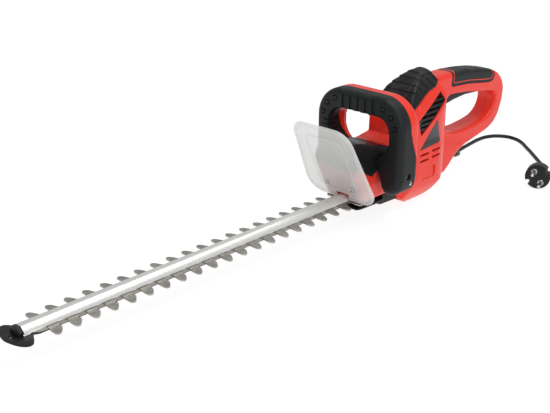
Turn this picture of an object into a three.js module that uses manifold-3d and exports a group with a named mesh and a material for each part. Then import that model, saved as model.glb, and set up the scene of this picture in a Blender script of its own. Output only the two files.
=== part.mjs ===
// Electric hedge trimmer. Millimetres, +X to the blade tip, +Y to the user's left, +Z up.
// Inside the `machine` group lengths are counted from the first tooth, in the blade plane.
import * as THREE from 'three';
import { mergeVertices } from 'three/addons/utils/BufferGeometryUtils.js';
import Module from 'manifold-3d';

const wasm = await Module();
wasm.setup();

// ---- driving dimensions ------------------------------------------------------------------
const GAP = 0.3;               // air between touching pieces
const WALL = 3;                // moulded wall
const TOOTH_PITCH = 24;
const TOOTH_COUNT = 21;        // on each side of each blade
const STROKE = TOOTH_PITCH / 2;
const BLADE_T = 1.8;
const SPINE_W = 10;            // half width of a blade between its teeth
const RAIL_H = 8.5;
const RAIL_W = 9.6;
const RAIL_FRONT = 28;
const RAIL_REAR = -500;
const TIP_FRONT = 46;
const BODY_W = 38;             // half width of the motor housing
const D_HANDLE_W = 17;
const MOTOR_X = -620;
const GEAR_MODULE = 1.25;
const PINION_TEETH = 7;
const GEAR_TEETH = 46;
const GEAR_X = MOTOR_X + GEAR_MODULE * (PINION_TEETH + GEAR_TEETH) / 2;
const ECCENTRIC = STROKE / 2;
const DISC_R = 9;
const BELLY_Z = -34;           // the housing's underside, below the blade plane
const LOOP_W = 74;             // front handle, outer half width
const LOOP_TOP = 143;
const LOOP_BAR = 27;           // thickness of its tube, seen from the front
const LOOP_FRONT = -503;
const LOOP_SPLIT = -523;
const LOOP_REAR = -543;
const GUARD_TILT = THREE.MathUtils.degToRad(25.8);
const GUARD_FOOT = [-478, 2];
const GUARD_H = 125.5;
const CORD_D = 6;
const CORD_STEPS = 40;
const ORIGIN_X = 397;          // from the first tooth to the middle of the machine's length

// ---- helpers -----------------------------------------------------------------------------
function toSolid(geometry) {
  const bare = geometry.clone();
  bare.deleteAttribute('normal');
  bare.deleteAttribute('uv');
  const merged = mergeVertices(bare, 1e-4);
  return new wasm.Manifold(new wasm.Mesh({
    numProp: 3,
    vertProperties: new Float32Array(merged.attributes.position.array),
    triVerts: new Uint32Array(merged.index.array),
  }));
}

function toGeometry(solid) {
  const mesh = solid.getMesh();
  const geometry = new THREE.BufferGeometry();
  geometry.setAttribute('position', new THREE.BufferAttribute(mesh.vertProperties, 3));
  geometry.setIndex(new THREE.BufferAttribute(mesh.triVerts, 1));
  geometry.computeVertexNormals();
  return geometry;
}

// Turns an extrusion so that its outline lies across the named axis.
const ACROSS = {
  x: new THREE.Matrix4().makeBasis(
    new THREE.Vector3(0, 1, 0), new THREE.Vector3(0, 0, 1), new THREE.Vector3(1, 0, 0)),
  y: new THREE.Matrix4().makeBasis(
    new THREE.Vector3(1, 0, 0), new THREE.Vector3(0, 0, 1), new THREE.Vector3(0, -1, 0)),
  z: new THREE.Matrix4(),
};

// A plate with the given outline between `low` and `high` on an axis; `round` eases its rims.
function slab(outline, axis, low, high, round = 0, holes = [], steps = 3) {
  const shape = new THREE.Shape(outline.map(([u, v]) => new THREE.Vector2(u, v)));
  for (const hole of holes) {
    shape.holes.push(new THREE.Path(hole.map(([u, v]) => new THREE.Vector2(u, v))));
  }
  const geometry = new THREE.ExtrudeGeometry(shape, {
    depth: high - low - 2 * round,
    bevelEnabled: round > 0,
    bevelThickness: round,
    bevelSize: round,
    bevelOffset: -round,
    bevelSegments: steps,
    curveSegments: 6,
  });
  const start = axis === 'y' ? -high + round : low + round;
  geometry.translate(0, 0, start);
  geometry.applyMatrix4(ACROSS[axis]);
  return toSolid(geometry);
}

function block(x0, x1, y0, y1, z0, z1) {
  const geometry = new THREE.BoxGeometry(x1 - x0, y1 - y0, z1 - z0);
  geometry.translate((x0 + x1) / 2, (y0 + y1) / 2, (z0 + z1) / 2);
  return toSolid(geometry);
}

function arc(cu, cv, r, from, to, steps = 5) {
  return Array.from({ length: steps + 1 }, (_, i) => {
    const a = THREE.MathUtils.degToRad(from + (to - from) * i / steps);
    return [cu + r * Math.cos(a), cv + r * Math.sin(a)];
  });
}

const circle = (cu, cv, r, sides = 24) => arc(cu, cv, r, 0, 360 - 360 / sides, sides - 1);

// A slot with round ends: two circles joined, `cu0` to `cu1`.
const slotOutline = (cu0, cu1, cv, r, steps = 5) => [
  ...arc(cu1, cv, r, -90, 90, steps), ...arc(cu0, cv, r, 90, 270, steps)];

// A rectangle whose four corners are round.
const roundRect = (u0, u1, v0, v1, r, steps = 4) => [
  ...arc(u1 - r, v0 + r, r, -90, 0, steps), ...arc(u1 - r, v1 - r, r, 0, 90, steps),
  ...arc(u0 + r, v1 - r, r, 90, 180, steps), ...arc(u0 + r, v0 + r, r, 180, 270, steps)];

// A turned piece: profile points are [radius, height], standing at (x, y).
function turned(profile, x, y, sides = 24) {
  const geometry = new THREE.LatheGeometry(profile.map(([r, h]) => new THREE.Vector2(r, h)), sides);
  geometry.rotateX(Math.PI / 2);
  geometry.translate(x, y, 0);
  return toSolid(geometry);
}

const ring = (x, y, inner, outer, z0, z1, sides = 24) =>
  turned([[inner, z0], [outer, z0], [outer, z1], [inner, z1], [inner, z0]], x, y, sides);

const rod = (x, y, r, z0, z1, sides = 20) =>
  turned([[0, z0], [r, z0], [r, z1], [0, z1]], x, y, sides);

// The outline moved inwards by `d`, along the mitre of each corner.
function inset(outline, d) {
  const n = outline.length;
  return outline.map((p, i) => {
    const a = new THREE.Vector2(...outline[(i + n - 1) % n]);
    const b = new THREE.Vector2(...p);
    const c = new THREE.Vector2(...outline[(i + 1) % n]);
    const before = b.clone().sub(a).normalize();
    const after = c.clone().sub(b).normalize();
    const mitre = new THREE.Vector2(-before.y - after.y, before.x + after.x).normalize();
    const reach = d / Math.max(0.5, mitre.x * -before.y + mitre.y * before.x);
    return [b.x + mitre.x * reach, b.y + mitre.y * reach];
  });
}

const material = (color, roughness, metalness = 0, opacity = 1) => new THREE.MeshStandardMaterial({
  color, roughness, metalness, opacity, transparent: opacity < 1 });

const RED = material(0xe8372c, 0.42);
const BLACK = material(0x1c1f21, 0.55);
const SOFT_BLACK = material(0x191b1d, 0.8);
const STEEL = material(0x9c998f, 0.35, 1);
const BRIGHT_STEEL = material(0xb9bcc0, 0.25, 1);
const ALUMINIUM = material(0xd6d7d2, 0.3, 1);
const CAST_ALUMINIUM = material(0x9fa3a6, 0.5, 1);
const COPPER = material(0xb5653a, 0.35, 1);
const BRASS = material(0xc9a557, 0.3, 1);
const CARBON = material(0x2b2b2c, 0.7);
const NYLON = material(0xd8d2c2, 0.5);
const CLEAR = material(0xe2e6e8, 0.25, 0, 0.5);

const machine = new THREE.Group();
machine.position.set(ORIGIN_X, 0, -BELLY_Z);

function add(name, solid, finish, parent = machine) {
  const mesh = new THREE.Mesh(toGeometry(solid), finish);
  mesh.name = name;
  parent.add(mesh);
  return mesh;
}

const cutAll = (solid, tools) => tools.reduce((left, tool) => left.subtract(tool), solid);
const joinAll = (solids) => solids.reduce((sum, next) => sum.add(next));

// ---- housing outlines, seen from the side (x, z), anticlockwise ----------------------------
const MOTOR_SIDE = [
  [-547, -4], [-547, 50], [-554, 72], [-564, 94], [-574, 108], [-585, 121], [-598, 133], [-612, 143],
  [-630, 151], [-640, 153], [-647, 148], [-650, 138], [-658, 127], [-667, 110], [-672, 95], [-672, 40],
  [-666, 12], [-655, -6], [-643, -19], [-628, -29], [-612, BELLY_Z], [-598, BELLY_Z], [-581, -27],
  [-564, -16],
];
const MOTOR_FRONT = [
  [38, 8], [38, 92], [32.5, 112], [23.5, 132], [12, 147.5], [0, 153], [-12, 147.5], [-23.5, 132],
  [-32.5, 112], [-38, 92], [-38, 8], [-35, -10], [-27, -25], [-15, BELLY_Z], [15, BELLY_Z], [27, -25],
  [35, -10],
];
const MOTOR_TOP = [
  [-547, -8], [-551, -17], [-559, -26], [-571, -33], [-588, -38], [-640, -38], [-655, -35], [-667, -28],
  [-674, -20], [-678, -10], [-678, 10], [-674, 20], [-667, 28], [-655, 35], [-640, 38], [-588, 38],
  [-571, 33], [-559, 26], [-551, 17], [-547, 8],
];
// The nose ends in a plane just behind the tilted guard.
const noseFront = (z) => [GUARD_FOOT[0] - 3.5 + (z - GUARD_FOOT[1]) * Math.tan(GUARD_TILT), z];
const NOSE_SIDE = [noseFront(0.7), noseFront(86), [-490, 80], [-512, 74], [-534, 70],
  [-560, 76], [-575, 76], [-575, 0.7]];
const NOSE_FRONT = [
  [31, 0.7], [33, 58], [24, 76], [10, 86], [-10, 86], [-24, 76], [-33, 58], [-31, 0.7],
];
const D_OUTER = [
  [-630, 126], [-660, 138], [-700, 138], [-738, 135], [-770, 130.5], [-800, 124], [-820, 116], [-833, 105],
  [-840, 90], [-838, 68], [-830, 48], [-819, 35], [-800, 27], [-764, 20.5], [-739, 16], [-719, 7],
  [-704, -6], [-690, -16], [-630, -12], [-620, 60],
];
const D_HOLE = [
  [-672, 90], [-682, 97], [-790, 97], [-800, 92], [-805, 80], [-803, 68], [-796, 60], [-786, 55],
  [-770, 51.5], [-742, 48.5], [-706, 49], [-686, 55], [-675, 66],
];

// Anticlockwise order is made sure of, so that `inset` always moves inwards.
function anticlockwise(outline) {
  const area = THREE.ShapeUtils.area(outline.map(([u, v]) => new THREE.Vector2(u, v)));
  return area < 0 ? [...outline].reverse() : outline;
}

// The machine's outer form, moved inwards by d.
function bodyForm(d) {
  const motor = slab(inset(anticlockwise(MOTOR_SIDE), d), 'y', -50, 50)
    .intersect(slab(inset(anticlockwise(MOTOR_FRONT), d), 'x', -720, -520))
    .intersect(slab(inset(anticlockwise(MOTOR_TOP), d), 'z', -60, 170));
  const nose = slab(inset(anticlockwise(NOSE_SIDE), d), 'y', -50, 50)
    .intersect(slab(inset(anticlockwise(NOSE_FRONT), d), 'x', -600, -460));
  const handle = slab(inset(anticlockwise(D_OUTER), d), 'y', -D_HANDLE_W + d, D_HANDLE_W - d,
    10 - d, [inset(anticlockwise(D_HOLE), -d)]);
  return joinAll([motor, nose, handle]);
}

// Regions of the form that are separate covers, seen from the side.
const COWL_SIDE = [
  [-430, 56], [-470, 50], [-498, 35], [-540, 62], [-536, 68], [-514, 75.5], [-500, 100], [-430, 100],
];
const CAP_SIDE = [
  [-530, 78], [-556, 78], [-566, 98], [-580, 110.5], [-591, 115.5], [-606, 124.5], [-619, 131.5],
  [-631, 132.5], [-640, 136], [-646, 140], [-649, 160], [-530, 160],
];
const GRIP_SIDE = [
  [-693, 117], [-738, 113.5], [-773, 108], [-794, 105], [-803, 106], [-808, 113], [-806, 122], [-804, 132],
  [-800, 145], [-712, 145], [-695, 141],
];

const outer = bodyForm(0);
const underCover = bodyForm(WALL + GAP);
const backOfCover = bodyForm(WALL);
const cavity = bodyForm(2 * WALL);
const cover = (region) => outer.intersect(slab(region, 'y', -60, 60)).subtract(backOfCover);

// ---- working parts' places -------------------------------------------------------------------
const GEAR_Z0 = 5;
const GEAR_Z1 = 14;
const TRIGGER_PIVOT = [-792, 101];

// ---- housing ---------------------------------------------------------------------------------
const coverRegions = joinAll([COWL_SIDE, CAP_SIDE, GRIP_SIDE].map((region) =>
  slab(inset(anticlockwise(region), -GAP), 'y', -60, 60)));
const VENT = [[-596, 69], [-589, 92], [-650, 122], [-657, 108]];
const BADGE = [[-595, 49], [-642, 52], [-633, 87]];
const PAD = roundRect(-634, -603, 2, 21, 5);
const ventWindow = slab(VENT, 'y', -60, 60);
const slots = joinAll([[-596, -617, 39], [-624, -645, 40], [-596, -617, 30], [-624, -645, 31]].map(
  ([front, rear, z]) => slab(roundRect(rear, front, z, z + 3.4, 1.6), 'y', -60, 60)));
const badgeSeat = slab(inset(anticlockwise(BADGE), -GAP), 'y', -60, 60)
  .subtract(block(-700, -560, -36.4, 36.4, 0, 120));
const padSeat = slab(PAD, 'y', -60, 60).subtract(block(-700, -560, -36.8, 36.8, -20, 40));
const TRIGGER_W = 8;           // half width
const triggerSlot = block(-798, -684, -TRIGGER_W - 0.5, TRIGGER_W + 0.5, 80, 118);

const baseRoom = joinAll([
  block(-602, -440, -26.3, 26.3, -17, 0.7), block(-574, -440, -26.3, 26.3, -40, 0)]);
const railRoom = block(-506, -440, -10, 10, 0, 9.2);
const CORD_EXIT = [-688, 0, 5];
const CORD_AIM = new THREE.Vector3(-1, 0, -0.12).normalize();
// Moves a piece turned about +Z so that it stands at `from` and points along `aim`.
function aimed(geometry, from, aim) {
  const turn = new THREE.Quaternion().setFromUnitVectors(new THREE.Vector3(0, 0, 1), aim);
  geometry.applyQuaternion(turn);
  geometry.translate(...from);
  return toSolid(geometry);
}
function aimedRod(profile, from, aim, sides = 20) {
  const geometry = new THREE.LatheGeometry(profile.map(([r, h]) => new THREE.Vector2(r, h)), sides);
  geometry.rotateX(Math.PI / 2);
  return aimed(geometry, from, aim);
}
const plain = (r, h0, h1) => [[0, h0], [r, h0], [r, h1], [0, h1]];
const SIDEWAYS = new THREE.Vector3(0, -1, 0);
const HOUSING_SCREWS = [[-592, 30, BODY_W], [-592, 102, 35], [-634, -8, 35.5], [-826, 72, D_HANDLE_W],
  [-748, 27, D_HANDLE_W]];
const screwHoles = joinAll(HOUSING_SCREWS.map(([x, z]) =>
  aimedRod(plain(3.2, 8, 60), [x, 0, z], SIDEWAYS)));
const HANDLE_SCREWS = [[-522, 39], [-531, 27]];
const onGuard = (solid) => solid.rotate([0, THREE.MathUtils.radToDeg(GUARD_TILT), 0])
  .translate([GUARD_FOOT[0], 0, GUARD_FOOT[1]]);
const GUARD_SCREWS = [-22, 22];
const GUARD_SCREW_V = 22;
const FORWARD = new THREE.Vector3(1, 0, 0);
const guardHoles = joinAll(GUARD_SCREWS.map((y) =>
  onGuard(aimedRod(plain(1.9, -14, 3), [0, y, GUARD_SCREW_V], FORWARD))));
const shellForm = cutAll(
  outer.subtract(coverRegions).add(underCover).subtract(cavity),
  [ventWindow, slots, badgeSeat, padSeat, triggerSlot, baseRoom, railRoom, guardHoles,
    aimedRod(plain(5.3, -12, 60), CORD_EXIT, CORD_AIM)]);
add('left_housing', shellForm.intersect(block(-900, -400, GAP / 2, 60, -60, 200)), RED);
add('right_housing', shellForm.intersect(block(-900, -400, -60, -GAP / 2, -60, 200))
  .subtract(screwHoles), RED);
HOUSING_SCREWS.forEach(([x, z, w], i) => {
  const head = [[0, w - 6], [2.9, w - 4], [2.9, w - 1.2], [0, w - 1.2]];
  add(`housing_screw_${i + 1}`, aimedRod(head, [x, 0, z], SIDEWAYS, 12), BRIGHT_STEEL);
});
add('motor_cap', cover(CAP_SIDE), BLACK);
add('gear_cowl', cover(COWL_SIDE), BLACK);
add('rear_grip', cover(GRIP_SIDE), SOFT_BLACK);

// Louvres on a plate that follows the wall and fills the window.
const VENT_SINK = 1.8;
const VENT_T = 3;
const LOUVRE_STEP = [-8.2, 6.2];
const ventSkin = bodyForm(VENT_SINK).subtract(bodyForm(VENT_SINK + VENT_T));
const ventInside = slab(inset(anticlockwise(VENT), 2.6), 'y', 10, 50);
const louvreGaps = joinAll(Array.from({ length: 7 }, (_, i) => {
  const x = -597.5 + i * LOUVRE_STEP[0];
  const z = 72 + i * LOUVRE_STEP[1];
  return block(x - 7, x + 7, 10, 50, z, z + 2.8);
}));
const grille = slab(inset(anticlockwise(VENT), GAP), 'y', 10, 50).intersect(ventSkin)
  .subtract(ventInside.intersect(louvreGaps));
const badge = slab(anticlockwise(BADGE), 'y', 36.8, BODY_W);
for (const [side, place] of [['left', (solid) => solid], ['right', (solid) => solid.mirror([0, 1, 0])]]) {
  add(`${side}_vent_grille`, place(grille), BLACK);
  add(`${side}_badge_plate`, place(badge), BLACK);
}

// ---- base plate and belly --------------------------------------------------------------------
const BASE_SIDE = [
  [-476, 0.4], [-476, -8.8], [-484, -10.5], [-519, -11.5], [-527, -15], [-575, -16.5], [-600, -16.5],
  [-600, 0.4],
];
const bladeRoom = joinAll([
  block(-602, -480, -24.5, 24.5, -7.5, 12), block(-530, -470, -40, 40, -7.5, 12)]);
add('base_plate', slab(anticlockwise(BASE_SIDE), 'y', -26, 26).subtract(bladeRoom), BLACK);

// ---- cutter -----------------------------------------------------------------------------------
// One side of a blade's edge, walked forwards: `flank` gives a tooth's points from its root.
function bladeOutline(flank, rear) {
  const side = [];
  for (let k = TOOTH_COUNT - 1; k >= 0; k -= 1) {
    flank.forEach(([dx, y]) => side.push([-k * TOOTH_PITCH + dx, y]));
  }
  side.push([9, SPINE_W - 2], [14, 4]);
  const mirrored = side.map(([x, y]) => [x, -y]).reverse();
  return anticlockwise([...side, ...mirrored, ...rear]);
}
const LONG_TOOTH = [[-15, SPINE_W], [-9, 17], [-6.3, 24], [-5, 27.5], [-2.2, 30.2], [1, 30.3], [2.9, 27.5],
  [2.9, 20], [1, SPINE_W]];
const SHORT_TOOTH = [[-15, SPINE_W], [-13, 14], [-12, 18.2], [-9.6, 21.8], [-7, 22.5], [-5, 20],
  [-4, SPINE_W]];
const YOKE_W = 23;
const bladeRear = (x) => [[-506, -SPINE_W], [GEAR_X + 36, -YOKE_W], [x, -YOKE_W], [x, YOKE_W],
  [GEAR_X + 36, YOKE_W], [-506, SPINE_W]];
const BOLT_X = [-8, -100, -192, -284, -430];
const BOLT_R = 2.4;
const CLEAR_R = ECCENTRIC + DISC_R + 1;
function blade(flank, z0, shift) {
  const [back, ahead] = shift < 0 ? [shift, 0] : [0, shift];
  const rear = bladeRear(GEAR_X - CLEAR_R - 4 - Math.max(0, ahead));
  const solid = slab(bladeOutline(flank, rear), 'z', z0, z0 + BLADE_T);
  const slotsForBolts = BOLT_X.map((x) =>
    slab(slotOutline(x - ahead, x - back, 0, BOLT_R + 0.6), 'z', -20, 20));
  const window = slab(slotOutline(GEAR_X - ahead, GEAR_X - back, 0, CLEAR_R, 8), 'z', -20, 20);
  return cutAll(solid, [...slotsForBolts, window]);
}
const UPPER_Z = -BLADE_T;
const LOWER_Z = -2 * BLADE_T - GAP;
// At rest the upper blade is at the front of its stroke and the lower blade at the back.
add('upper_blade', blade(LONG_TOOTH, UPPER_Z, -STROKE), STEEL);
add('lower_blade', blade(SHORT_TOOTH, LOWER_Z, STROKE), STEEL);

// Aluminium rail over the blades: a sloping roof with a lip on each side, hollow beneath.
const RAIL_SECTION = anticlockwise([
  [-RAIL_W, GAP], [-RAIL_W, 3.7], [-4.2, RAIL_H], [4.2, RAIL_H], [RAIL_W, 3.7], [RAIL_W, GAP]]);
const RAIL_HOLLOW = [[-7.4, -1], [-7.4, 3], [-3.4, 6.4], [3.4, 6.4], [7.4, 3], [7.4, -1]];
add('cutter_rail', slab(RAIL_SECTION, 'x', RAIL_REAR, RAIL_FRONT)
  .subtract(slab(anticlockwise(RAIL_HOLLOW), 'x', RAIL_REAR + 3, RAIL_FRONT - 3)), ALUMINIUM);

// Black bar under the blades.
const BAR_TOP = LOWER_Z - GAP;
const BAR_T = 2.4;
add('support_bar', cutAll(slab(slotOutline(-494, 8, 0, 7), 'z', BAR_TOP - BAR_T, BAR_TOP),
  BOLT_X.map((x) => rod(x, 0, BOLT_R + 0.25, -20, 20))), BLACK);
BOLT_X.forEach((x, i) => {
  const profile = [[0, BAR_TOP - BAR_T - 1.8], [4.2, BAR_TOP - BAR_T - 1.8], [4.2, BAR_TOP - BAR_T - GAP],
    [BOLT_R, BAR_TOP - BAR_T - GAP], [BOLT_R, 6.1], [0, 6.1]];
  add(`rail_bolt_${i + 1}`, turned(profile, x, 0, 12), BRIGHT_STEEL);
});

// Tip guard: a plate with two lobes ahead of the blades and a cap in front of the rail's end.
const TIP_HALF = [[14.5, 8.5], [19.5, 12.5], [21, 16], [25, 22.7], [28.5, 27], [33, 28], [37.5, 25.5],
  [41, 20.5], [43.8, 13], [45.4, 5], [TIP_FRONT, 2]];
const TIP_OUTLINE = anticlockwise([...TIP_HALF, ...TIP_HALF.map(([x, y]) => [x, -y]).reverse()]);
const TIP_Z0 = -3.1;
const TIP_T = 2;
const TIP_HOLE = [38.3, 2.3, 2.7];   // middle, half length, half width
const tipHole = slab(circle(0, 0, 1, 20).map(([along, across]) =>
  [TIP_HOLE[0] + along * TIP_HOLE[1], across * TIP_HOLE[2]]), 'z', -20, 20);
const tipCap = slab(anticlockwise([[-8.5, -6], [-8.5, 3.4], [-4, 8], [4, 8], [8.5, 3.4], [8.5, -6]]), 'x',
  RAIL_FRONT + GAP, RAIL_FRONT + 5);
const bladeTipRoom = block(0, RAIL_FRONT, -9, 9, -20, 20);
add('tip_guard', slab(TIP_OUTLINE, 'z', TIP_Z0, TIP_Z0 + TIP_T).subtract(bladeTipRoom).add(tipCap)
  .subtract(tipHole), BLACK);

// ---- gears and crank ----------------------------------------------------------------------------
// `root` and `tip` are half widths of a tooth there, as shares of the tooth pitch.
function gearOutline(teeth, root, tip) {
  const points = [];
  const pitchR = GEAR_MODULE * teeth / 2;
  const profile = [[-root, -1.2], [-tip, 0.85], [tip, 0.85], [root, -1.2]];
  for (let t = 0; t < teeth; t += 1) {
    for (const [part, rise] of profile) {
      const a = (t + part) * 2 * Math.PI / teeth;
      const r = pitchR + rise * GEAR_MODULE;
      points.push([r * Math.cos(a), r * Math.sin(a)]);
    }
  }
  return points;
}
const shaftR = 5;
// The wheel has a gap at its side nearest to the motor, the pinion a tooth.
const wheel = slab(gearOutline(GEAR_TEETH, 0.34, 0.12), 'z', GEAR_Z0, GEAR_Z1)
  .rotate([0, 0, 180 / GEAR_TEETH]).translate([GEAR_X, 0, 0]);
add('drive_gear', wheel.subtract(rod(GEAR_X, 0, shaftR + GAP, -20, 40)), BRIGHT_STEEL);
const upperDisc = rod(GEAR_X + ECCENTRIC, 0, DISC_R, UPPER_Z + 0.1, -0.1, 28);
const lowerDisc = rod(GEAR_X - ECCENTRIC, 0, DISC_R, LOWER_Z + 0.1, LOWER_Z + BLADE_T - 0.1, 28);
add('crank_shaft', joinAll([rod(GEAR_X, 0, shaftR, LOWER_Z - 2.6, 23), upperDisc, lowerDisc,
  rod(GEAR_X, 0, 8, 0.3, GEAR_Z0 - GAP), rod(GEAR_X, 0, 3.8, LOWER_Z, UPPER_Z)]), STEEL);
add('crank_bearing', ring(GEAR_X, 0, shaftR + GAP, 9.5, 14.8, 22), BRIGHT_STEEL);
const gearCase = joinAll([
  slab(roundRect(-653, -572, -28, 28, 12), 'z', 22.3, 25.5), block(-575, -553, -14, 14, 22.3, 25.5),
  ring(GEAR_X, 0, 9.8, 13, 17, 22.5), ring(MOTOR_X, 0, 8.3, 11.5, 18, 22.5)]);
add('gear_case_plate', cutAll(gearCase, [rod(GEAR_X, 0, shaftR + 1, 10, 40), rod(MOTOR_X, 0, 5, 10, 40)]),
  CAST_ALUMINIUM);

// ---- motor ---------------------------------------------------------------------------------------
const MOTOR_SHAFT_R = 3.5;
const CORE_R = 17.2;
const pinion = slab(gearOutline(PINION_TEETH, 0.28, 0.1), 'z', GEAR_Z0 - 1, GEAR_Z1 + 1)
  .translate([MOTOR_X, 0, 0]);
add('motor_shaft', rod(MOTOR_X, 0, MOTOR_SHAFT_R, GEAR_Z1 + GAP, 126).add(pinion), STEEL);
const shaftBore = MOTOR_SHAFT_R + GAP;
add('lower_motor_bearing', ring(MOTOR_X, 0, shaftBore, 8, 17.5, 22), BRIGHT_STEEL);
add('upper_motor_bearing', ring(MOTOR_X, 0, shaftBore, 8, 117, 123), BRIGHT_STEEL);
add('armature', turned([[shaftBore, 48], [13, 48], [14.5, 53], [CORE_R, 53], [CORE_R, 88], [14.5, 88],
  [13, 94], [shaftBore, 94], [shaftBore, 48]], MOTOR_X, 0, 28), COPPER);
add('commutator', ring(MOTOR_X, 0, shaftBore, 9.5, 98, 111), COPPER);
add('stator', ring(MOTOR_X, 0, CORE_R + 0.8, 28, 55, 86, 32), STEEL);
const FAN_BLADES = 10;
const fanBlade = block(9, 27, -0.8, 0.8, 30, 41);
add('fan', joinAll([ring(MOTOR_X, 0, shaftBore, 9.5, 28, 41), ring(MOTOR_X, 0, 9, 28, 28, 30),
  ...Array.from({ length: FAN_BLADES }, (_, i) =>
    fanBlade.rotate([0, 0, i * 360 / FAN_BLADES]).translate([MOTOR_X, 0, 0]))]), NYLON);
for (const [side, sign] of [['left', 1], ['right', -1]]) {
  const holder = block(MOTOR_X - 5, MOTOR_X + 5, 9.8, 24, 100, 109);
  add(`${side}_brush_holder`, sign > 0 ? holder : holder.mirror([0, 1, 0]), BRASS);
}

// ---- front handle: an arch over the nose -----------------------------------------------------------
const LOOP_R = 42;
const loopHalf = [
  [44, 12], [60, 12], [71, 20], [LOOP_W, 34], ...arc(LOOP_W - LOOP_R, LOOP_TOP - LOOP_R, LOOP_R, 0, 90, 6)];
const innerHalf = [
  ...arc(LOOP_W - LOOP_R, LOOP_TOP - LOOP_R - 4, LOOP_R - LOOP_BAR + 3, 90, 0, 4), [51, 84], [45, 70],
  [30, 60], [30, 50], [40, 30]];
const other = (points) => points.map(([y, z]) => [-y, z]).reverse();
const LOOP_OUTLINE = anticlockwise([...loopHalf, ...other(loopHalf), ...other(innerHalf), ...innerHalf]);
const loop = slab(LOOP_OUTLINE, 'x', LOOP_REAR, LOOP_FRONT, 7).subtract(bodyForm(-GAP));
const BAR_HALF = 42;
const loopRoom = joinAll([
  block(-534, -512, -BAR_HALF - 4, BAR_HALF + 4, 120, 137),
  block(-528.5, -517.5, -BAR_HALF, BAR_HALF, 105, 121)]);
const handleScrewHoles = joinAll([1, -1].flatMap((sign) => HANDLE_SCREWS.map(([x, z]) =>
  aimedRod(plain(4.2, LOOP_W - 5, LOOP_W + 5), [x, 0, z], new THREE.Vector3(0, sign, 0)))));
// Seen from the side, the red rear half runs out towards the foot.
const SPLIT_SIDE = [[LOOP_SPLIT, 170], [LOOP_SPLIT, 100], [LOOP_SPLIT - 5, 84], [LOOP_SPLIT - 16, 58],
  [LOOP_REAR - 6, 46], [LOOP_REAR - 6, 170]];
const backRegion = slab(inset(anticlockwise(SPLIT_SIDE), GAP / 2), 'y', -90, 90);
const frontRegion = block(LOOP_REAR - 5, LOOP_FRONT + 5, -90, 90, 0, 160)
  .subtract(slab(inset(anticlockwise(SPLIT_SIDE), -GAP / 2), 'y', -90, 90));
const gripped = cutAll(loop.intersect(frontRegion), [loopRoom, handleScrewHoles]);
// The arch's two feet are joined over its top, so it is one moulding.
add('front_handle_grip', gripped, SOFT_BLACK);
add('front_handle_back', loop.intersect(backRegion).subtract(loopRoom), RED);
add('front_switch_bar', joinAll([block(-527.9, -518.1, -BAR_HALF + GAP, BAR_HALF - GAP, 111.6, 122),
  block(-531, -515, -BAR_HALF + GAP, BAR_HALF - GAP, 121.4, 124)]), BLACK);
add('front_switch', block(-530, -516, -12, 12, 129.5, 136), CARBON);
let handleScrew = 0;
for (const sign of [1, -1]) {
  for (const [x, z] of HANDLE_SCREWS) {
    handleScrew += 1;
    add(`handle_screw_${handleScrew}`, aimedRod(plain(3.4, LOOP_W - 4.6, LOOP_W - 1.6), [x, 0, z],
      new THREE.Vector3(0, sign, 0), 12), BRIGHT_STEEL);
  }
}

// ---- hand guard --------------------------------------------------------------------------------------
const GUARD_LOW_W = 58;
const GUARD_TOP_W = 50;
const GUARD_R = 24;
const guardHalf = [
  ...arc(GUARD_LOW_W - GUARD_R, GUARD_R, GUARD_R, -90, 0, 5),
  ...arc(GUARD_TOP_W - GUARD_R, GUARD_H - GUARD_R, GUARD_R, 0, 90, 5)];
const guardOutline = anticlockwise([...guardHalf, ...other(guardHalf)]);
const guardNotch = block(-10, 10, -10.6, 10.6, -5, 9.5);
const guardSheet = onGuard(slab(guardOutline, 'x', -2.6, 0).subtract(guardNotch));
add('hand_guard', guardSheet.subtract(guardHoles), CLEAR);
GUARD_SCREWS.forEach((y, i) => {
  const profile = [[0, -12], [1.6, -12], [1.6, GAP], [4, GAP], [3.4, 2.2], [0, 2.2]];
  add(`guard_screw_${i + 1}`, onGuard(aimedRod(profile, [0, y, GUARD_SCREW_V], FORWARD, 12)), BRIGHT_STEEL);
});

// ---- rear trigger --------------------------------------------------------------------------------------
const TRIGGER_SIDE = anticlockwise([
  [-688, 88], [-697, 88.5], [-715, 91.5], [-745, 93.5], [-775, 91.5], [-788, 92], [-794, 98], [-792, 106],
  [-750, 107], [-688, 109]]);
const ACROSS_Y = new THREE.Vector3(0, 1, 0);
const pinPlace = [TRIGGER_PIVOT[0], 0, TRIGGER_PIVOT[1]];
add('rear_trigger', slab(TRIGGER_SIDE, 'y', -TRIGGER_W, TRIGGER_W, 1, [], 1)
  .subtract(aimedRod(plain(1.8, -10, 10), pinPlace, ACROSS_Y)), SOFT_BLACK);
add('trigger_pin', aimedRod(plain(1.5, -TRIGGER_W, TRIGGER_W), pinPlace, ACROSS_Y, 12), BRIGHT_STEEL);
add('trigger_switch', block(-764, -736, -7, 7, 113.5, 120), CARBON);

// ---- cord and plug ---------------------------------------------------------------------------------------
const RELIEF_L = 44;
add('strain_relief', aimedRod([[0, 0], [5, 0], [5, 20], [3.3, RELIEF_L], [0, RELIEF_L]],
  CORD_EXIT, CORD_AIM), BLACK);
const FLOOR = BELLY_Z + CORD_D / 2 + 0.4;
const relief = new THREE.Vector3(...CORD_EXIT).addScaledVector(CORD_AIM, RELIEF_L + GAP);
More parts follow.
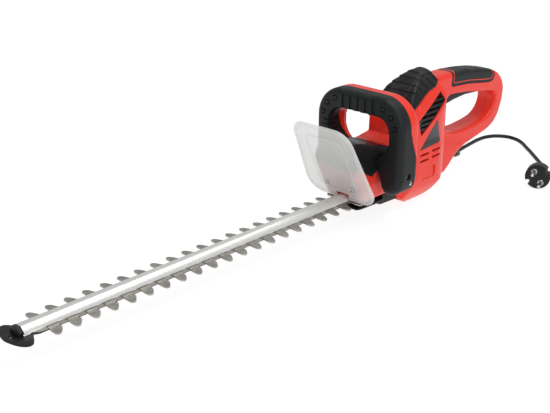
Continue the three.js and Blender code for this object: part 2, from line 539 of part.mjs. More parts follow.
// The first stretch leaves along the relief's own line.
const afterRelief = relief.clone().addScaledVector(CORD_AIM, 10).toArray();
const CORD_ROUTE = [
  relief.toArray(), afterRelief, [-762, -8, -7.5], [-781, -24, -18],
  [-801, -41, -27.5], [-822, -51.5, FLOOR], [-848, -56, FLOOR], [-876, -59.5, FLOOR], [-902, -62, FLOOR],
  [-924, -60, FLOOR], [-940, -51, FLOOR], [-949, -36, FLOOR], [-948, -18, FLOOR], [-938, 0, FLOOR],
  [-923, 17, FLOOR], [-907, 35, FLOOR], [-890, 53, FLOOR], [-875, 69, FLOOR], [-860, 83, -29],
  [-844, 94, -23],
];
const PLUG_R = 18.5;
const PLUG_L = 37;
const PLUG_FACE = new THREE.Vector3(-774, 123.5, BELLY_Z + PLUG_R);
const PLUG_AIM = new THREE.Vector3(0.931, 0.365, 0).normalize();
const plugTail = PLUG_FACE.clone().addScaledVector(PLUG_AIM, -PLUG_L - GAP);
CORD_ROUTE.push(plugTail.clone().addScaledVector(PLUG_AIM, -12).add(new THREE.Vector3(0, 0, -0.8)).toArray());
CORD_ROUTE.push(plugTail.toArray());
const cordCurve = new THREE.CatmullRomCurve3(CORD_ROUTE.map((p) => new THREE.Vector3(...p)));
const cordSection = new THREE.Shape(circle(0, 0, CORD_D / 2, 10).map(([u, v]) => new THREE.Vector2(u, v)));
add('cord', toSolid(new THREE.ExtrudeGeometry(cordSection, {
  extrudePath: cordCurve, steps: CORD_STEPS, bevelEnabled: false })), BLACK);
const plugForm = aimedRod([[0, -PLUG_L], [4.6, -PLUG_L], [6.5, -28], [10, -21], [17.5, -16], [PLUG_R, -14],
  [PLUG_R, 0], [0, 0]], PLUG_FACE.toArray(), PLUG_AIM, 28);
// In the face, `u` runs along the two pins and `v` across them, towards the earth notches.
const level = new THREE.Vector3(-PLUG_AIM.y, PLUG_AIM.x, 0);
const PIN_ROLL = THREE.MathUtils.degToRad(-57);
const u = level.clone().multiplyScalar(Math.cos(PIN_ROLL)).add(new THREE.Vector3(0, 0, Math.sin(PIN_ROLL)));
const v = new THREE.Vector3().crossVectors(PLUG_AIM, u);
const notch = (sign) => aimedRod(plain(3.2, 11.5, 30),
  PLUG_FACE.clone().addScaledVector(PLUG_AIM, -5).toArray(), v.clone().multiplyScalar(sign), 12);
const PIN_PITCH = 19;
const pinFoot = (sign) => PLUG_FACE.clone().addScaledVector(u, sign * PIN_PITCH / 2).toArray();
add('plug_body', cutAll(plugForm, [notch(1), notch(-1), aimedRod(plain(2.7, -6, 5), pinFoot(1), PLUG_AIM, 12),
  aimedRod(plain(2.7, -6, 5), pinFoot(-1), PLUG_AIM, 12)]), BLACK);
[1, -1].forEach((sign, i) => {
  add(`plug_pin_${i + 1}`, aimedRod([[0, -5.6], [2.4, -5.6], [2.4, 18], [1.4, 19], [0, 19]], pinFoot(sign),
    PLUG_AIM, 12), BRIGHT_STEEL);
});

const hedgeTrimmer = new THREE.Group();
hedgeTrimmer.add(machine);
export default hedgeTrimmer;
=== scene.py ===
# %% [markdown]
# An electric hedge trimmer, made piece by piece around a fixed frame of CAD parts. The frame says where every
# part is and how it moves. Each cell here makes one visible piece, or one finish, and says why it is made so.

# %% Load the frame
import math

import bmesh
import bpy
from mathutils import Matrix, Vector


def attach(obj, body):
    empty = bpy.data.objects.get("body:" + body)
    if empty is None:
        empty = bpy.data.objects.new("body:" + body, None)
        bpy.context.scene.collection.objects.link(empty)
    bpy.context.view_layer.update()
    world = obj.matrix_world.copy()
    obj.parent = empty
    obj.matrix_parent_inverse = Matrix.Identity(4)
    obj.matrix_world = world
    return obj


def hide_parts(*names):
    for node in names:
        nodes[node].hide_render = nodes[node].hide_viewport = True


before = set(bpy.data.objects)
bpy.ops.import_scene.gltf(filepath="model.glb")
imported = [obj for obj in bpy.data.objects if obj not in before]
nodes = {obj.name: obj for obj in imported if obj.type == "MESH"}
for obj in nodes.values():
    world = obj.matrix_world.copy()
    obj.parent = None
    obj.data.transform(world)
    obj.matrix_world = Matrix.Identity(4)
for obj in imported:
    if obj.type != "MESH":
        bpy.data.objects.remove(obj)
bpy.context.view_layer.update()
scene = bpy.context.scene

# %% [markdown]
# The machine was drawn in millimetres from its first tooth, in the plane of the blades, because that is
# where a maker measures it from. The frame's own origin is at the middle of its length, on the ground. One
# helper turns drawing numbers into frame metres, so every shape below is written in drawing numbers.

# %% Drawing to frame
MM = 0.001
FIRST_TOOTH_X = 397      # drawing x of 0 stands here in the frame
BLADE_PLANE_Z = 34       # and drawing z of 0 here


def at(x, y, z):
    """A point of the drawing, in frame metres."""
    return Vector(((x + FIRST_TOOTH_X) * MM, y * MM, (z + BLADE_PLANE_Z) * MM))


# %% [markdown]
# A product is usually shown with a long lens from a little above. The camera stands to the left of the blade
# tip and looks along the machine, so the teeth come forward and the handles stand behind them.

# %% Camera
camera_data = bpy.data.cameras.new("camera")
camera_data.lens = 65.165
camera_data.sensor_width = 36
camera = bpy.data.objects.new("camera", camera_data)
scene.collection.objects.link(camera)
looking = Vector((-0.6657, -0.6435, -0.3778)).normalized()
rightward = looking.cross(Vector((0, 0, 1))).normalized()
upward = rightward.cross(looking)
camera.matrix_world = Matrix.Translation((0.88153, 0.80178, 0.53322)) @ Matrix(
    (rightward, upward, -looking)).transposed().to_4x4()
scene.camera = camera

# %% [markdown]
# The mains cord is short, as on every machine that is plugged into an extension lead. Its route is a smooth
# curve through listed points: straight out of its relief, down to the ground, round, and up into the
# plug. The curve passes through each point, with its speed set by the spacing, so it has no sharp bends.

# %% Cord route
CORD_D = 6
RELIEF_L = 44
GAP = 0.3
CORD_EXIT = Vector((-688, 0, 5))
CORD_AIM = Vector((-1, 0, -0.12)).normalized()
GROUND = -BLADE_PLANE_Z + CORD_D / 2 + 0.4
PLUG_R = 18.5
PLUG_L = 37
PLUG_FACE = Vector((-774, 123.5, -BLADE_PLANE_Z + PLUG_R))
PLUG_AIM = Vector((0.931, 0.365, 0)).normalized()

relief_end = CORD_EXIT + CORD_AIM * (RELIEF_L + GAP)
plug_tail = PLUG_FACE - PLUG_AIM * (PLUG_L + GAP)
CORD_POINTS = [
    relief_end, relief_end + CORD_AIM * 10, (-762, -8, -7.5), (-781, -24, -18), (-801, -41, -27.5),
    (-822, -51.5, GROUND), (-848, -56, GROUND), (-876, -59.5, GROUND), (-902, -62, GROUND),
    (-924, -60, GROUND), (-940, -51, GROUND), (-949, -36, GROUND), (-948, -18, GROUND), (-938, 0, GROUND),
    (-923, 17, GROUND), (-907, 35, GROUND), (-890, 53, GROUND), (-875, 69, GROUND), (-860, 83, -29),
    (-844, 94, -23), plug_tail - PLUG_AIM * 12 - Vector((0, 0, 0.8)), plug_tail,
]


def through(points, steps):
    """A centripetal Catmull-Rom curve through the points, `steps` short lines to each span."""
    points = [Vector(p) for p in points]
    ends = [points[0] * 2 - points[1], *points, points[-1] * 2 - points[-2]]
    line = []
    for p0, p1, p2, p3 in zip(ends, ends[1:], ends[2:], ends[3:]):
        t1 = (p1 - p0).length ** 0.5
        t2 = t1 + (p2 - p1).length ** 0.5
        t3 = t2 + (p3 - p2).length ** 0.5
        for step in range(steps):
            t = t1 + (t2 - t1) * step / steps
            a1 = p0.lerp(p1, t / t1)
            a2 = p1.lerp(p2, (t - t1) / (t2 - t1))
            a3 = p2.lerp(p3, (t - t2) / (t3 - t2))
            b1 = a1.lerp(a2, t / t2)
            b2 = a2.lerp(a3, (t - t1) / (t3 - t1))
            line.append(b1.lerp(b2, (t - t1) / (t2 - t1)))
    return [*line, points[-1]]


cord_line = through(CORD_POINTS, 8)

# %% Cord
cord_curve = bpy.data.curves.new("mains_cord", "CURVE")
cord_curve.dimensions = "3D"
spline = cord_curve.splines.new("POLY")
spline.points.add(len(cord_line) - 1)
for point, place in zip(spline.points, cord_line):
    point.co = (*at(*place), 1)
cord_curve.bevel_depth = CORD_D / 2 * MM
cord_curve.bevel_resolution = 5
cord_curve.use_fill_caps = True
cord_form = bpy.data.objects.new("cord_form", cord_curve)
scene.collection.objects.link(cord_form)
cord = bpy.data.objects.new("mains_cord", bpy.data.meshes.new_from_object(cord_form))
scene.collection.objects.link(cord)
bpy.data.objects.remove(cord_form)
print("cord faces:", len(cord.data.polygons))

# %% [markdown]
# Four tools make nearly every moulded piece. An outline is softened by rounding each of its corners a little.
# A loft stacks copies of one outline, each moved in by a little, which rounds the rims. Booleans join and
# cut. A voxel remesh with some smoothing then melts hard meetings together, the way a mould's fillets do.

# %% Shape tools
def softened(outline, reach=6.0):
    """Rounds the corners of a closed outline, each over at most `reach` of the sides that meet there."""
    rounded = []
    for before, here, after in zip(outline[-1:] + outline[:-1], outline, outline[1:] + outline[:1]):
        before, here, after = Vector(before), Vector(here), Vector(after)
        start = here + (before - here).normalized() * min(reach, (before - here).length * 0.45)
        end = here + (after - here).normalized() * min(reach, (after - here).length * 0.45)
        for t in (0, 0.25, 0.5, 0.75, 1):
            rounded.append(tuple(start.lerp(here, t).lerp(here.lerp(end, t), t)))
    return rounded


def anticlockwise(outline):
    following = outline[1:] + outline[:1]
    area = sum(u * t - s * v for (u, v), (s, t) in zip(outline, following))
    return outline if area > 0 else outline[::-1]


def inset(outline, amount):
    """The outline moved in by `amount`, or out where it is negative."""
    outline = anticlockwise(list(outline))
    moved = []
    for before, here, after in zip(outline[-1:] + outline[:-1], outline, outline[1:] + outline[:1]):
        arriving = (Vector(here) - Vector(before)).normalized()
        leaving = (Vector(after) - Vector(here)).normalized()
        mitre = Vector((-arriving.y - leaving.y, arriving.x + leaving.x)).normalized()
        reach = amount / max(0.5, mitre.dot(Vector((-arriving.y, arriving.x))))
        moved.append(tuple(Vector(here) + mitre * reach))
    return moved


def arc(u, v, radius, start, end, steps=8):
    angles = [math.radians(start + (end - start) * step / steps) for step in range(steps + 1)]
    return [(u + radius * math.cos(a), v + radius * math.sin(a)) for a in angles]


def mirrored(points):
    """The other half of a shape that is the same on both sides, in walking order."""
    return [(-u, v) for u, v in reversed(points)]


def make(name, points, faces):
    mesh = bpy.data.meshes.new(name)
    mesh.from_pydata([at(*p) for p in points], [], faces)
    face_outwards(mesh)
    piece = bpy.data.objects.new(name, mesh)
    scene.collection.objects.link(piece)
    return piece


def face_outwards(mesh):
    work = bmesh.new()
    work.from_mesh(mesh)
    bmesh.ops.remove_doubles(work, verts=work.verts, dist=1e-7)
    bmesh.ops.recalc_face_normals(work, faces=work.faces)
    work.to_mesh(mesh)
    work.free()


LAY = {  # where an outline's (u, v) and its height h go in the drawing
    "x": lambda u, v, h: (h, u, v),
    "y": lambda u, v, h: (u, h, v),
    "z": lambda u, v, h: (u, v, h),
}


def loft(name, outline, axis, layers, lay=None):
    """Stacks the outline along an axis; `layers` are (height, inset) from one end to the other."""
    lay = lay or LAY[axis]
    rings = [inset(outline, amount) for _, amount in layers]
    points = [lay(u, v, height) for ring, (height, _) in zip(rings, layers) for u, v in ring]
    size = len(outline)
    faces = [tuple(range(size))[::-1], tuple(range(len(points) - size, len(points)))]
    for start in range(0, len(points) - size, size):
        for i in range(size):
            j = (i + 1) % size
            faces.append((start + i, start + j, start + size + j, start + size + i))
    return make(name, points, faces)


def slab(name, outline, axis, low, high, rim=0, steps=4, lay=None):
    """A plate of that outline, with round rims of radius `rim`."""
    if not rim:
        return loft(name, outline, axis, [(low, 0), (high, 0)], lay)
    turns = [math.pi / 2 * step / steps for step in range(steps + 1)]
    layers = [(low + rim * (1 - math.cos(a)), rim * (1 - math.sin(a))) for a in turns]
    layers += [(high - rim * (1 - math.cos(a)), rim * (1 - math.sin(a))) for a in reversed(turns)]
    return loft(name, outline, axis, layers, lay)


def block(name, x0, x1, y0, y1, z0, z1, rim=0):
    return slab(name, [(x0, y0), (x1, y0), (x1, y1), (x0, y1)], "z", z0, z1, rim)


def settle(piece):
    """Makes what the modifiers show the piece's own mesh."""
    graph = bpy.context.evaluated_depsgraph_get()
    mesh = bpy.data.meshes.new_from_object(piece.evaluated_get(graph))
    piece.modifiers.clear()
    piece.data = mesh
    mesh.name = piece.name
    return piece


def combine(how, piece, *others):
    """DIFFERENCE, UNION or INTERSECT with each of the others, which are then thrown away."""
    for other in others:
        modifier = piece.modifiers.new(how.lower(), "BOOLEAN")
        modifier.operation = how
        modifier.solver = "MANIFOLD"
        modifier.object = other
    settle(piece)
    for other in others:
        bpy.data.objects.remove(other)
    return piece


def copied(piece, name):
    twin = bpy.data.objects.new(name, piece.data.copy())
    scene.collection.objects.link(twin)
    return twin


def melted(piece, voxel, smoothing):
    """Remeshes the piece into cells of `voxel` millimetres and relaxes it."""
    remesh = piece.modifiers.new("melt", "REMESH")
    remesh.mode = "VOXEL"
    remesh.voxel_size = voxel * MM
    if smoothing:
        relax = piece.modifiers.new("relax", "SMOOTH")
        relax.factor = 0.5
        relax.iterations = smoothing
    return settle(piece)


def grown(piece, name, amount, voxel=2.0):
    """A copy whose surface is moved out by `amount` millimetres, or in where it is negative."""
    twin = copied(piece, name)
    push = twin.modifiers.new("push", "DISPLACE")
    push.mid_level = 0
    push.strength = amount * MM
    return melted(twin, voxel, 1)


def push_points(piece, rule):
    """Moves each point along its normal by rule(x, y, z) millimetres, in drawing numbers."""
    mesh = piece.data
    normals = [v.normal.copy() for v in mesh.vertices]
    for vertex, normal in zip(mesh.vertices, normals):
        x, y, z = vertex.co / MM
        amount = rule(x - FIRST_TOOTH_X, y, z - BLADE_PLANE_Z)
        if amount:
            vertex.co += normal * (amount * MM)
    mesh.update()
    return piece


def turned(name, profile, foot, aim, sides=40):
    """A turned piece: profile points are (radius, height) along `aim` from `foot`."""
    turn = Vector((0, 0, 1)).rotation_difference(Vector(aim)).to_matrix()
    points, faces = [], []
    for radius, height in profile:
        for side in range(sides):
            angle = 2 * math.pi * side / sides
            reach = max(radius, 1e-5)
            spot = turn @ Vector((reach * math.cos(angle), reach * math.sin(angle), height))
            points.append(tuple(Vector(foot) + spot))
    for ring in range(len(profile) - 1):
        for side in range(sides):
            following = (side + 1) % sides
            faces.append((ring * sides + side, ring * sides + following,
                          (ring + 1) * sides + following, (ring + 1) * sides + side))
    last = (len(profile) - 1) * sides
    faces += [tuple(range(sides))[::-1], tuple(range(last, last + sides))]
    return make(name, points, faces)


def shade(piece, angle=32):
    """Smooth shading, with edges sharper than `angle` left crisp."""
    work = bmesh.new()
    work.from_mesh(piece.data)
    limit = math.radians(angle)
    for face in work.faces:
        face.smooth = True
    for edge in work.edges:
        edge.smooth = edge.calc_face_angle(0) < limit
    work.to_mesh(piece.data)
    work.free()


def finish(piece, body, material, slot, *replaced, angle=32):
    """Paints a piece, fixes it to its body, and hides the CAD parts that it stands for."""
    piece.data.materials.clear()
    piece.data.materials.append(material)
    if piece.type == "MESH":
        shade(piece, angle)
        print(piece.name, len(piece.data.polygons), "faces")
    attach(piece, body)
    if replaced:
        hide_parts(*replaced)


# %% [markdown]
# Finishes that several materials share are node groups. "Moulded skin" is the fine spark texture of an
# injection mould and the slow unevenness of its gloss. "Edge rub" finds convex edges by their pointiness and
# pales them, as handling does. "Dust" settles on what faces up. Each gives values that the material then uses.

# %% Finish groups
def group(name, inputs, outputs):
    tree = bpy.data.node_groups.new(name, "ShaderNodeTree")
    for label, kind, value in inputs:
        socket = tree.interface.new_socket(label, in_out="INPUT", socket_type=kind)
        socket.default_value = value
    for label, kind in outputs:
        tree.interface.new_socket(label, in_out="OUTPUT", socket_type=kind)
    return tree, tree.nodes.new("NodeGroupInput"), tree.nodes.new("NodeGroupOutput")


def math_node(tree, operation, first, second, third=None):
    node = tree.nodes.new("ShaderNodeMath")
    node.operation = operation
    for socket, value in zip(node.inputs, (first, second, third)):
        if isinstance(value, (int, float)):
            socket.default_value = value
        elif value is not None:
            tree.links.new(value, socket)
    return node.outputs[0]


def noise(tree, vector, scale, detail=3, roughness=0.5):
    node = tree.nodes.new("ShaderNodeTexNoise")
    tree.links.new(vector, node.inputs["Vector"])
    if isinstance(scale, (int, float)):
        node.inputs["Scale"].default_value = scale
    else:
        tree.links.new(scale, node.inputs["Scale"])
    node.inputs["Detail"].default_value = detail
    node.inputs["Roughness"].default_value = roughness
    return node.outputs["Fac"]


def ramp(tree, value, low, high):
    """0 below `low`, 1 above `high`, smooth between."""
    node = tree.nodes.new("ShaderNodeMapRange")
    node.interpolation_type = "SMOOTHSTEP"
    tree.links.new(value, node.inputs["Value"])
    node.inputs["From Min"].default_value = low
    node.inputs["From Max"].default_value = high
    return node.outputs["Result"]


def mix_colour(tree, amount, first, second):
    node = tree.nodes.new("ShaderNodeMix")
    node.data_type = "RGBA"
    sockets = [s for s in node.inputs if s.name in ("Factor", "A", "B") and s.enabled]
    for socket, value in zip(sockets, (amount, first, second)):
        if isinstance(value, (int, float, tuple)):
            socket.default_value = value
        else:
            tree.links.new(value, socket)
    return [s for s in node.outputs if s.enabled][0]


COLOUR, FLOAT, VECTOR = "NodeSocketColor", "NodeSocketFloat", "NodeSocketVector"

skin, given, result = group(
    "Moulded skin", [("Vector", VECTOR, (0, 0, 0)), ("Grain size", FLOAT, 1500.0),
                     ("Gloss spread", FLOAT, 0.08), ("Roughness", FLOAT, 0.4)],
    [("Height", FLOAT), ("Roughness", FLOAT)])
grain = noise(skin, given.outputs["Vector"], given.outputs["Grain size"], 2, 0.6)
slow = noise(skin, given.outputs["Vector"], 22.0, 3)
skin.links.new(grain, result.inputs["Height"])
spread = math_node(skin, "MULTIPLY", math_node(skin, "SUBTRACT", slow, 0.5), given.outputs["Gloss spread"])
fine = math_node(skin, "MULTIPLY", math_node(skin, "SUBTRACT", grain, 0.5), 0.06)
skin.links.new(math_node(skin, "ADD", math_node(skin, "ADD", given.outputs["Roughness"], spread), fine),
               result.inputs["Roughness"])

rub, given, result = group(
    "Edge rub", [("Vector", VECTOR, (0, 0, 0)), ("Colour", COLOUR, (1, 1, 1, 1)),
                 ("Rubbed", COLOUR, (1, 1, 1, 1)), ("Amount", FLOAT, 0.5)],
    [("Colour", COLOUR), ("Mask", FLOAT)])
geometry = rub.nodes.new("ShaderNodeNewGeometry")
edges = ramp(rub, geometry.outputs["Pointiness"], 0.53, 0.60)
patchy = ramp(rub, noise(rub, given.outputs["Vector"], 90.0, 4), 0.35, 0.7)
worn = math_node(rub, "MULTIPLY", math_node(rub, "MULTIPLY", edges, patchy), given.outputs["Amount"])
rub.links.new(mix_colour(rub, worn, given.outputs["Colour"], given.outputs["Rubbed"]),
              result.inputs["Colour"])
rub.links.new(worn, result.inputs["Mask"])

dust, given, result = group(
    "Dust", [("Vector", VECTOR, (0, 0, 0)), ("Colour", COLOUR, (1, 1, 1, 1)), ("Amount", FLOAT, 0.05)],
    [("Colour", COLOUR), ("Mask", FLOAT)])
geometry = dust.nodes.new("ShaderNodeNewGeometry")
split = dust.nodes.new("ShaderNodeSeparateXYZ")
dust.links.new(geometry.outputs["Normal"], split.inputs[0])
upward_facing = ramp(dust, split.outputs["Z"], 0.2, 1.0)
cloud = ramp(dust, noise(dust, given.outputs["Vector"], 45.0, 5, 0.6), 0.4, 0.75)
lying = math_node(dust, "MULTIPLY", upward_facing, cloud)
fallen = math_node(dust, "MULTIPLY", lying, given.outputs["Amount"])
PALE_DUST = (0.55, 0.53, 0.5, 1)
dust.links.new(mix_colour(dust, fallen, given.outputs["Colour"], PALE_DUST), result.inputs["Colour"])
dust.links.new(fallen, result.inputs["Mask"])

# %% [markdown]
# A material is made from a base colour, a slow drift of that colour, the shared groups and a bump. Plastics,
# rubber and metal use the same builder with other values, and the ones with a grain of their own add it.

# %% Material builder
def placed(tree, shared, given, **values):
    """Sets a shared group into a material; `given` links its sockets and `values` fill them."""
    node = tree.nodes.new("ShaderNodeGroup")
    node.node_tree = shared
    for label, source in given.items():
        tree.links.new(source, node.inputs[label])
    for label, value in values.items():
        node.inputs[label.replace("_", " ")].default_value = value
    return node.outputs


def paint(name, colour, roughness, metallic=0.0, drift=0.06, grain_size=1500.0, bump=0.00003, rubbed=None,
          rub_amount=0.4, dust_amount=0.04, coat=0.0, stretch=(1, 1, 1), specular=0.5):
    material = bpy.data.materials.new(name)
    material.use_nodes = True
    tree = material.node_tree
    shader = tree.nodes["Principled BSDF"]
    coordinates = tree.nodes.new("ShaderNodeTexCoord").outputs["Object"]
    mapping = tree.nodes.new("ShaderNodeMapping")
    mapping.inputs["Scale"].default_value = stretch
    tree.links.new(coordinates, mapping.inputs["Vector"])
    own = mapping.outputs["Vector"]
    base = (*colour, 1)
    darker = (*(c * (1 - drift) for c in colour), 1)
    colour_out = mix_colour(tree, noise(tree, own, 14.0, 4), darker, base)

    rubbed = rubbed or tuple(min(1, c * 1.3 + 0.03) for c in colour)
    wear = placed(tree, rub, {"Vector": coordinates, "Colour": colour_out}, Rubbed=(*rubbed, 1),
                  Amount=rub_amount)
    fallen = placed(tree, dust, {"Vector": coordinates, "Colour": wear["Colour"]}, Amount=dust_amount)
    tree.links.new(fallen["Colour"], shader.inputs["Base Color"])
    surface = placed(tree, skin, {"Vector": own}, Grain_size=grain_size, Roughness=roughness)
    tree.links.new(surface["Roughness"], shader.inputs["Roughness"])
    relief = tree.nodes.new("ShaderNodeBump")
    relief.inputs["Strength"].default_value = 1.0
    relief.inputs["Distance"].default_value = bump
    tree.links.new(surface["Height"], relief.inputs["Height"])
    tree.links.new(relief.outputs["Normal"], shader.inputs["Normal"])
    shader.inputs["Metallic"].default_value = metallic
    shader.inputs["Coat Weight"].default_value = coat
    shader.inputs["Specular IOR Level"].default_value = specular
    return material


# %% [markdown]
# Two moulded plastics give the machine its look: a glossy red and a satin near-black. The grips are a softer,
# duller rubber. The blades are ground steel, with fine lines along them; the rail is drawn aluminium.

# %% Finishes
RED = paint("red_plastic", (0.80, 0.032, 0.016), 0.32, rubbed=(0.9, 0.16, 0.12), coat=0.12, bump=0.00001,
            specular=0.3)
BLACK = paint("black_plastic", (0.007, 0.008, 0.009), 0.36, rubbed=(0.05, 0.055, 0.06), bump=0.00003,
              specular=0.22)
RUBBER = paint("soft_grip", (0.008, 0.010, 0.011), 0.46, rubbed=(0.05, 0.055, 0.06), bump=0.00006,
               grain_size=1100.0, specular=0.22)
SLATE = paint("badge_plastic", (0.040, 0.046, 0.054), 0.35, bump=0.00001, specular=0.3)
CARBON = paint("switch_plastic", (0.02, 0.02, 0.021), 0.5)
STEEL = paint("blade_steel", (0.36, 0.34, 0.31), 0.36, metallic=0.85, drift=0.16, grain_size=260.0,
              bump=0.00002, rubbed=(0.7, 0.69, 0.66), stretch=(0.12, 1.6, 1), dust_amount=0.02)
BRIGHT = paint("bright_steel", (0.62, 0.63, 0.64), 0.25, metallic=1.0, drift=0.1, rubbed=(0.8, 0.8, 0.8))
RAIL = paint("rail_aluminium", (0.84, 0.85, 0.82), 0.34, metallic=0.7, drift=0.04, grain_size=900.0,
             bump=0.00001, stretch=(0.02, 1, 1), dust_amount=0.0, rub_amount=0.2, rubbed=(0.95, 0.95, 0.95))
CAST = paint("cast_aluminium", (0.40, 0.41, 0.42), 0.55, metallic=0.9, drift=0.15, grain_size=500.0,
             bump=0.0001)
COPPER = paint("copper", (0.60, 0.25, 0.13), 0.35, metallic=1.0, drift=0.3, stretch=(1, 1, 0.1))
BRASS = paint("brass", (0.66, 0.46, 0.17), 0.3, metallic=1.0, drift=0.15)
NYLON = paint("nylon", (0.68, 0.64, 0.54), 0.5)
CORD_RUBBER = paint("cord_rubber", (0.010, 0.011, 0.012), 0.42, bump=0.00005, grain_size=900.0, specular=0.25)

# %% [markdown]
# The hand guard is a milky, half clear plastic. Each of its two surfaces hides about half of what is behind
# it. So its transparency is set by alpha, which drifts a little from place to place.

# %% Milky plastic
MILKY = paint("clear_guard", (0.80, 0.81, 0.795), 0.28, bump=0.00002, drift=0.03, rub_amount=0.0, coat=0.3)
milky_tree = MILKY.node_tree
milky_place = milky_tree.nodes.new("ShaderNodeTexCoord").outputs["Object"]
cloudy = noise(milky_tree, milky_place, 18.0, 3)
milky_tree.links.new(math_node(milky_tree, "ADD", math_node(milky_tree, "MULTIPLY", cloudy, 0.12), 0.45),
                     milky_tree.nodes["Principled BSDF"].inputs["Alpha"])

# %% [markdown]
# The plain plate on the side fades to near black towards its lower edge, a little above the cooling slots.

# %% Fade of the side plate
slate_tree = SLATE.node_tree
slate_shader = slate_tree.nodes["Principled BSDF"]
slate_height = slate_tree.nodes.new("ShaderNodeSeparateXYZ")
slate_tree.links.new(slate_tree.nodes.new("ShaderNodeTexCoord").outputs["Object"], slate_height.inputs[0])
slate_colour = slate_shader.inputs["Base Color"].links[0].from_socket
slate_tree.links.new(mix_colour(slate_tree, ramp(slate_tree, slate_height.outputs["Z"], 0.093, 0.096),
                                (0.008, 0.009, 0.011, 1), slate_colour), slate_shader.inputs["Base Color"])

# %% [markdown]
# The frame's inner parts are hidden once the machine is closed, yet they show when a shell is taken off.
# Each CAD part therefore gets the finish of what it is made of, before the outer pieces are made.

# %% Finishes for CAD parts
CAD_FINISH = {
    STEEL: ["upper_blade", "lower_blade", "crank_shaft", "motor_shaft", "stator"],
    BRIGHT: ["drive_gear", "crank_bearing", "lower_motor_bearing", "upper_motor_bearing", "trigger_pin",
             "plug_pin_1", "plug_pin_2", *(f"rail_bolt_{i}" for i in range(1, 6)),
             *(f"housing_screw_{i}" for i in range(1, 6)), *(f"handle_screw_{i}" for i in range(1, 5)),
             "guard_screw_1", "guard_screw_2"],
    RAIL: ["cutter_rail"],
    CAST: ["gear_case_plate"],
    COPPER: ["armature", "commutator"],
    BRASS: ["left_brush_holder", "right_brush_holder"],
    NYLON: ["fan"],
    CARBON: ["front_switch", "trigger_switch"],
    BLACK: ["support_bar", "front_switch_bar", "rear_trigger", "strain_relief", "base_plate", "tip_guard",
            "motor_cap", "gear_cowl", "rear_grip", "left_vent_grille", "right_vent_grille",
            "left_badge_plate", "right_badge_plate", "plug_body", "front_handle_grip"],
    RED: ["left_housing", "right_housing", "front_handle_back"],
    CORD_RUBBER: ["cord"],
    MILKY: ["hand_guard"],
}
for material, names in CAD_FINISH.items():
    for name in names:
        nodes[name].data.materials.clear()
        nodes[name].data.materials.append(material)

# %% [markdown]
# The housing is one flowing form: a tall motor barrel, a nose towards the blades and a looped rear handle. The
# barrel is what is left when a side view, a front view and a top view are each pushed through the same block,
# as a model maker saws a blank from three sides. The joined form is then remeshed and relaxed.

# %% Housing outlines
MOTOR_SIDE = [
    (-547, -4), (-547, 50), (-554, 72), (-564, 94), (-574, 108), (-585, 121), (-598, 133), (-612, 143),
    (-630, 151), (-640, 153), (-647, 148), (-650, 138), (-658, 127), (-667, 110), (-672, 95), (-672, 40),
    (-666, 12), (-655, -6), (-643, -19), (-628, -29), (-612, -34), (-598, -34), (-581, -27), (-564, -16)]
MOTOR_FRONT_HALF = [(27, -25), (35, -10), (38, 8), (38, 92), (32.5, 112), (23.5, 132), (12, 147.5)]
MOTOR_FRONT = [(15, -34), *MOTOR_FRONT_HALF, (0, 153), *mirrored(MOTOR_FRONT_HALF), (-15, -34)]
MOTOR_TOP_HALF = [(-547, 8), (-551, 17), (-559, 26), (-571, 33), (-588, 38), (-640, 38), (-655, 35),
                  (-667, 28), (-674, 20), (-678, 10)]
MOTOR_TOP = [*MOTOR_TOP_HALF, *((x, -y) for x, y in reversed(MOTOR_TOP_HALF))]
GUARD_TILT = math.radians(25.8)
GUARD_FOOT = Vector((-478, 0, 2))


def nose_front(z):
    """Where the nose ends, just behind the tilted guard."""
    return (GUARD_FOOT.x - 3.5 + (z - GUARD_FOOT.z) * math.tan(GUARD_TILT), z)


NOSE_SIDE = [nose_front(0.7), nose_front(86), (-490, 80), (-512, 74), (-534, 70), (-560, 76), (-575, 76),
             (-575, 0.7)]
NOSE_FRONT = [(31, 0.7), (33, 58), (24, 76), (10, 86), *mirrored([(31, 0.7), (33, 58), (24, 76), (10, 86)])]
D_OUTER = [
    (-630, 126), (-660, 138), (-700, 138), (-738, 135), (-770, 130.5), (-800, 124), (-820, 116), (-833, 105),
    (-840, 90), (-838, 68), (-830, 48), (-819, 35), (-800, 27), (-764, 20.5), (-739, 16), (-719, 7),
    (-704, -6), (-690, -16), (-630, -12), (-620, 60)]
D_HOLE = [
    (-680, 60), (-678, 90), (-690, 104), (-703, 104), (-740, 100), (-776, 93), (-808, 88), (-815, 80),
    (-813, 66), (-805, 56), (-792, 49), (-770, 45.5), (-742, 43.5), (-706, 45), (-688, 51)]
D_HALF = 17
D_RIM = 7

# %% Housing form
motor = slab("motor_form", softened(anticlockwise(MOTOR_SIDE)), "y", -50, 50)
combine("INTERSECT", motor, slab("front_view", softened(anticlockwise(MOTOR_FRONT)), "x", -720, -520),
        slab("top_view", softened(anticlockwise(MOTOR_TOP)), "z", -60, 170))
nose = slab("nose_form", anticlockwise(NOSE_SIDE), "y", -50, 50)
combine("INTERSECT", nose, slab("nose_view", softened(anticlockwise(NOSE_FRONT)), "x", -600, -430))
handle = slab("handle_form", softened(anticlockwise(D_OUTER)), "y", -D_HALF, D_HALF, D_RIM)
turns = [math.pi / 2 * step / 4 for step in range(5)]
hole_layers = [(-D_HALF - 4, -4), *((-D_HALF + 4 * (1 - math.cos(a)), -4 * (1 - math.sin(a))) for a in turns)]
hole_layers += [(-height, amount) for height, amount in reversed(hole_layers)]
combine("DIFFERENCE", handle, loft("hole", softened(anticlockwise(D_HOLE)), "y", hole_layers))
combine("UNION", motor, nose, handle)
form = melted(motor, 1.5, 5)
form.name = "housing_form"
skin_deep = grown(form, "under_covers", -3.3)
cavity = grown(form, "cavity", -6)
print("housing form:", len(form.data.polygons), "faces")

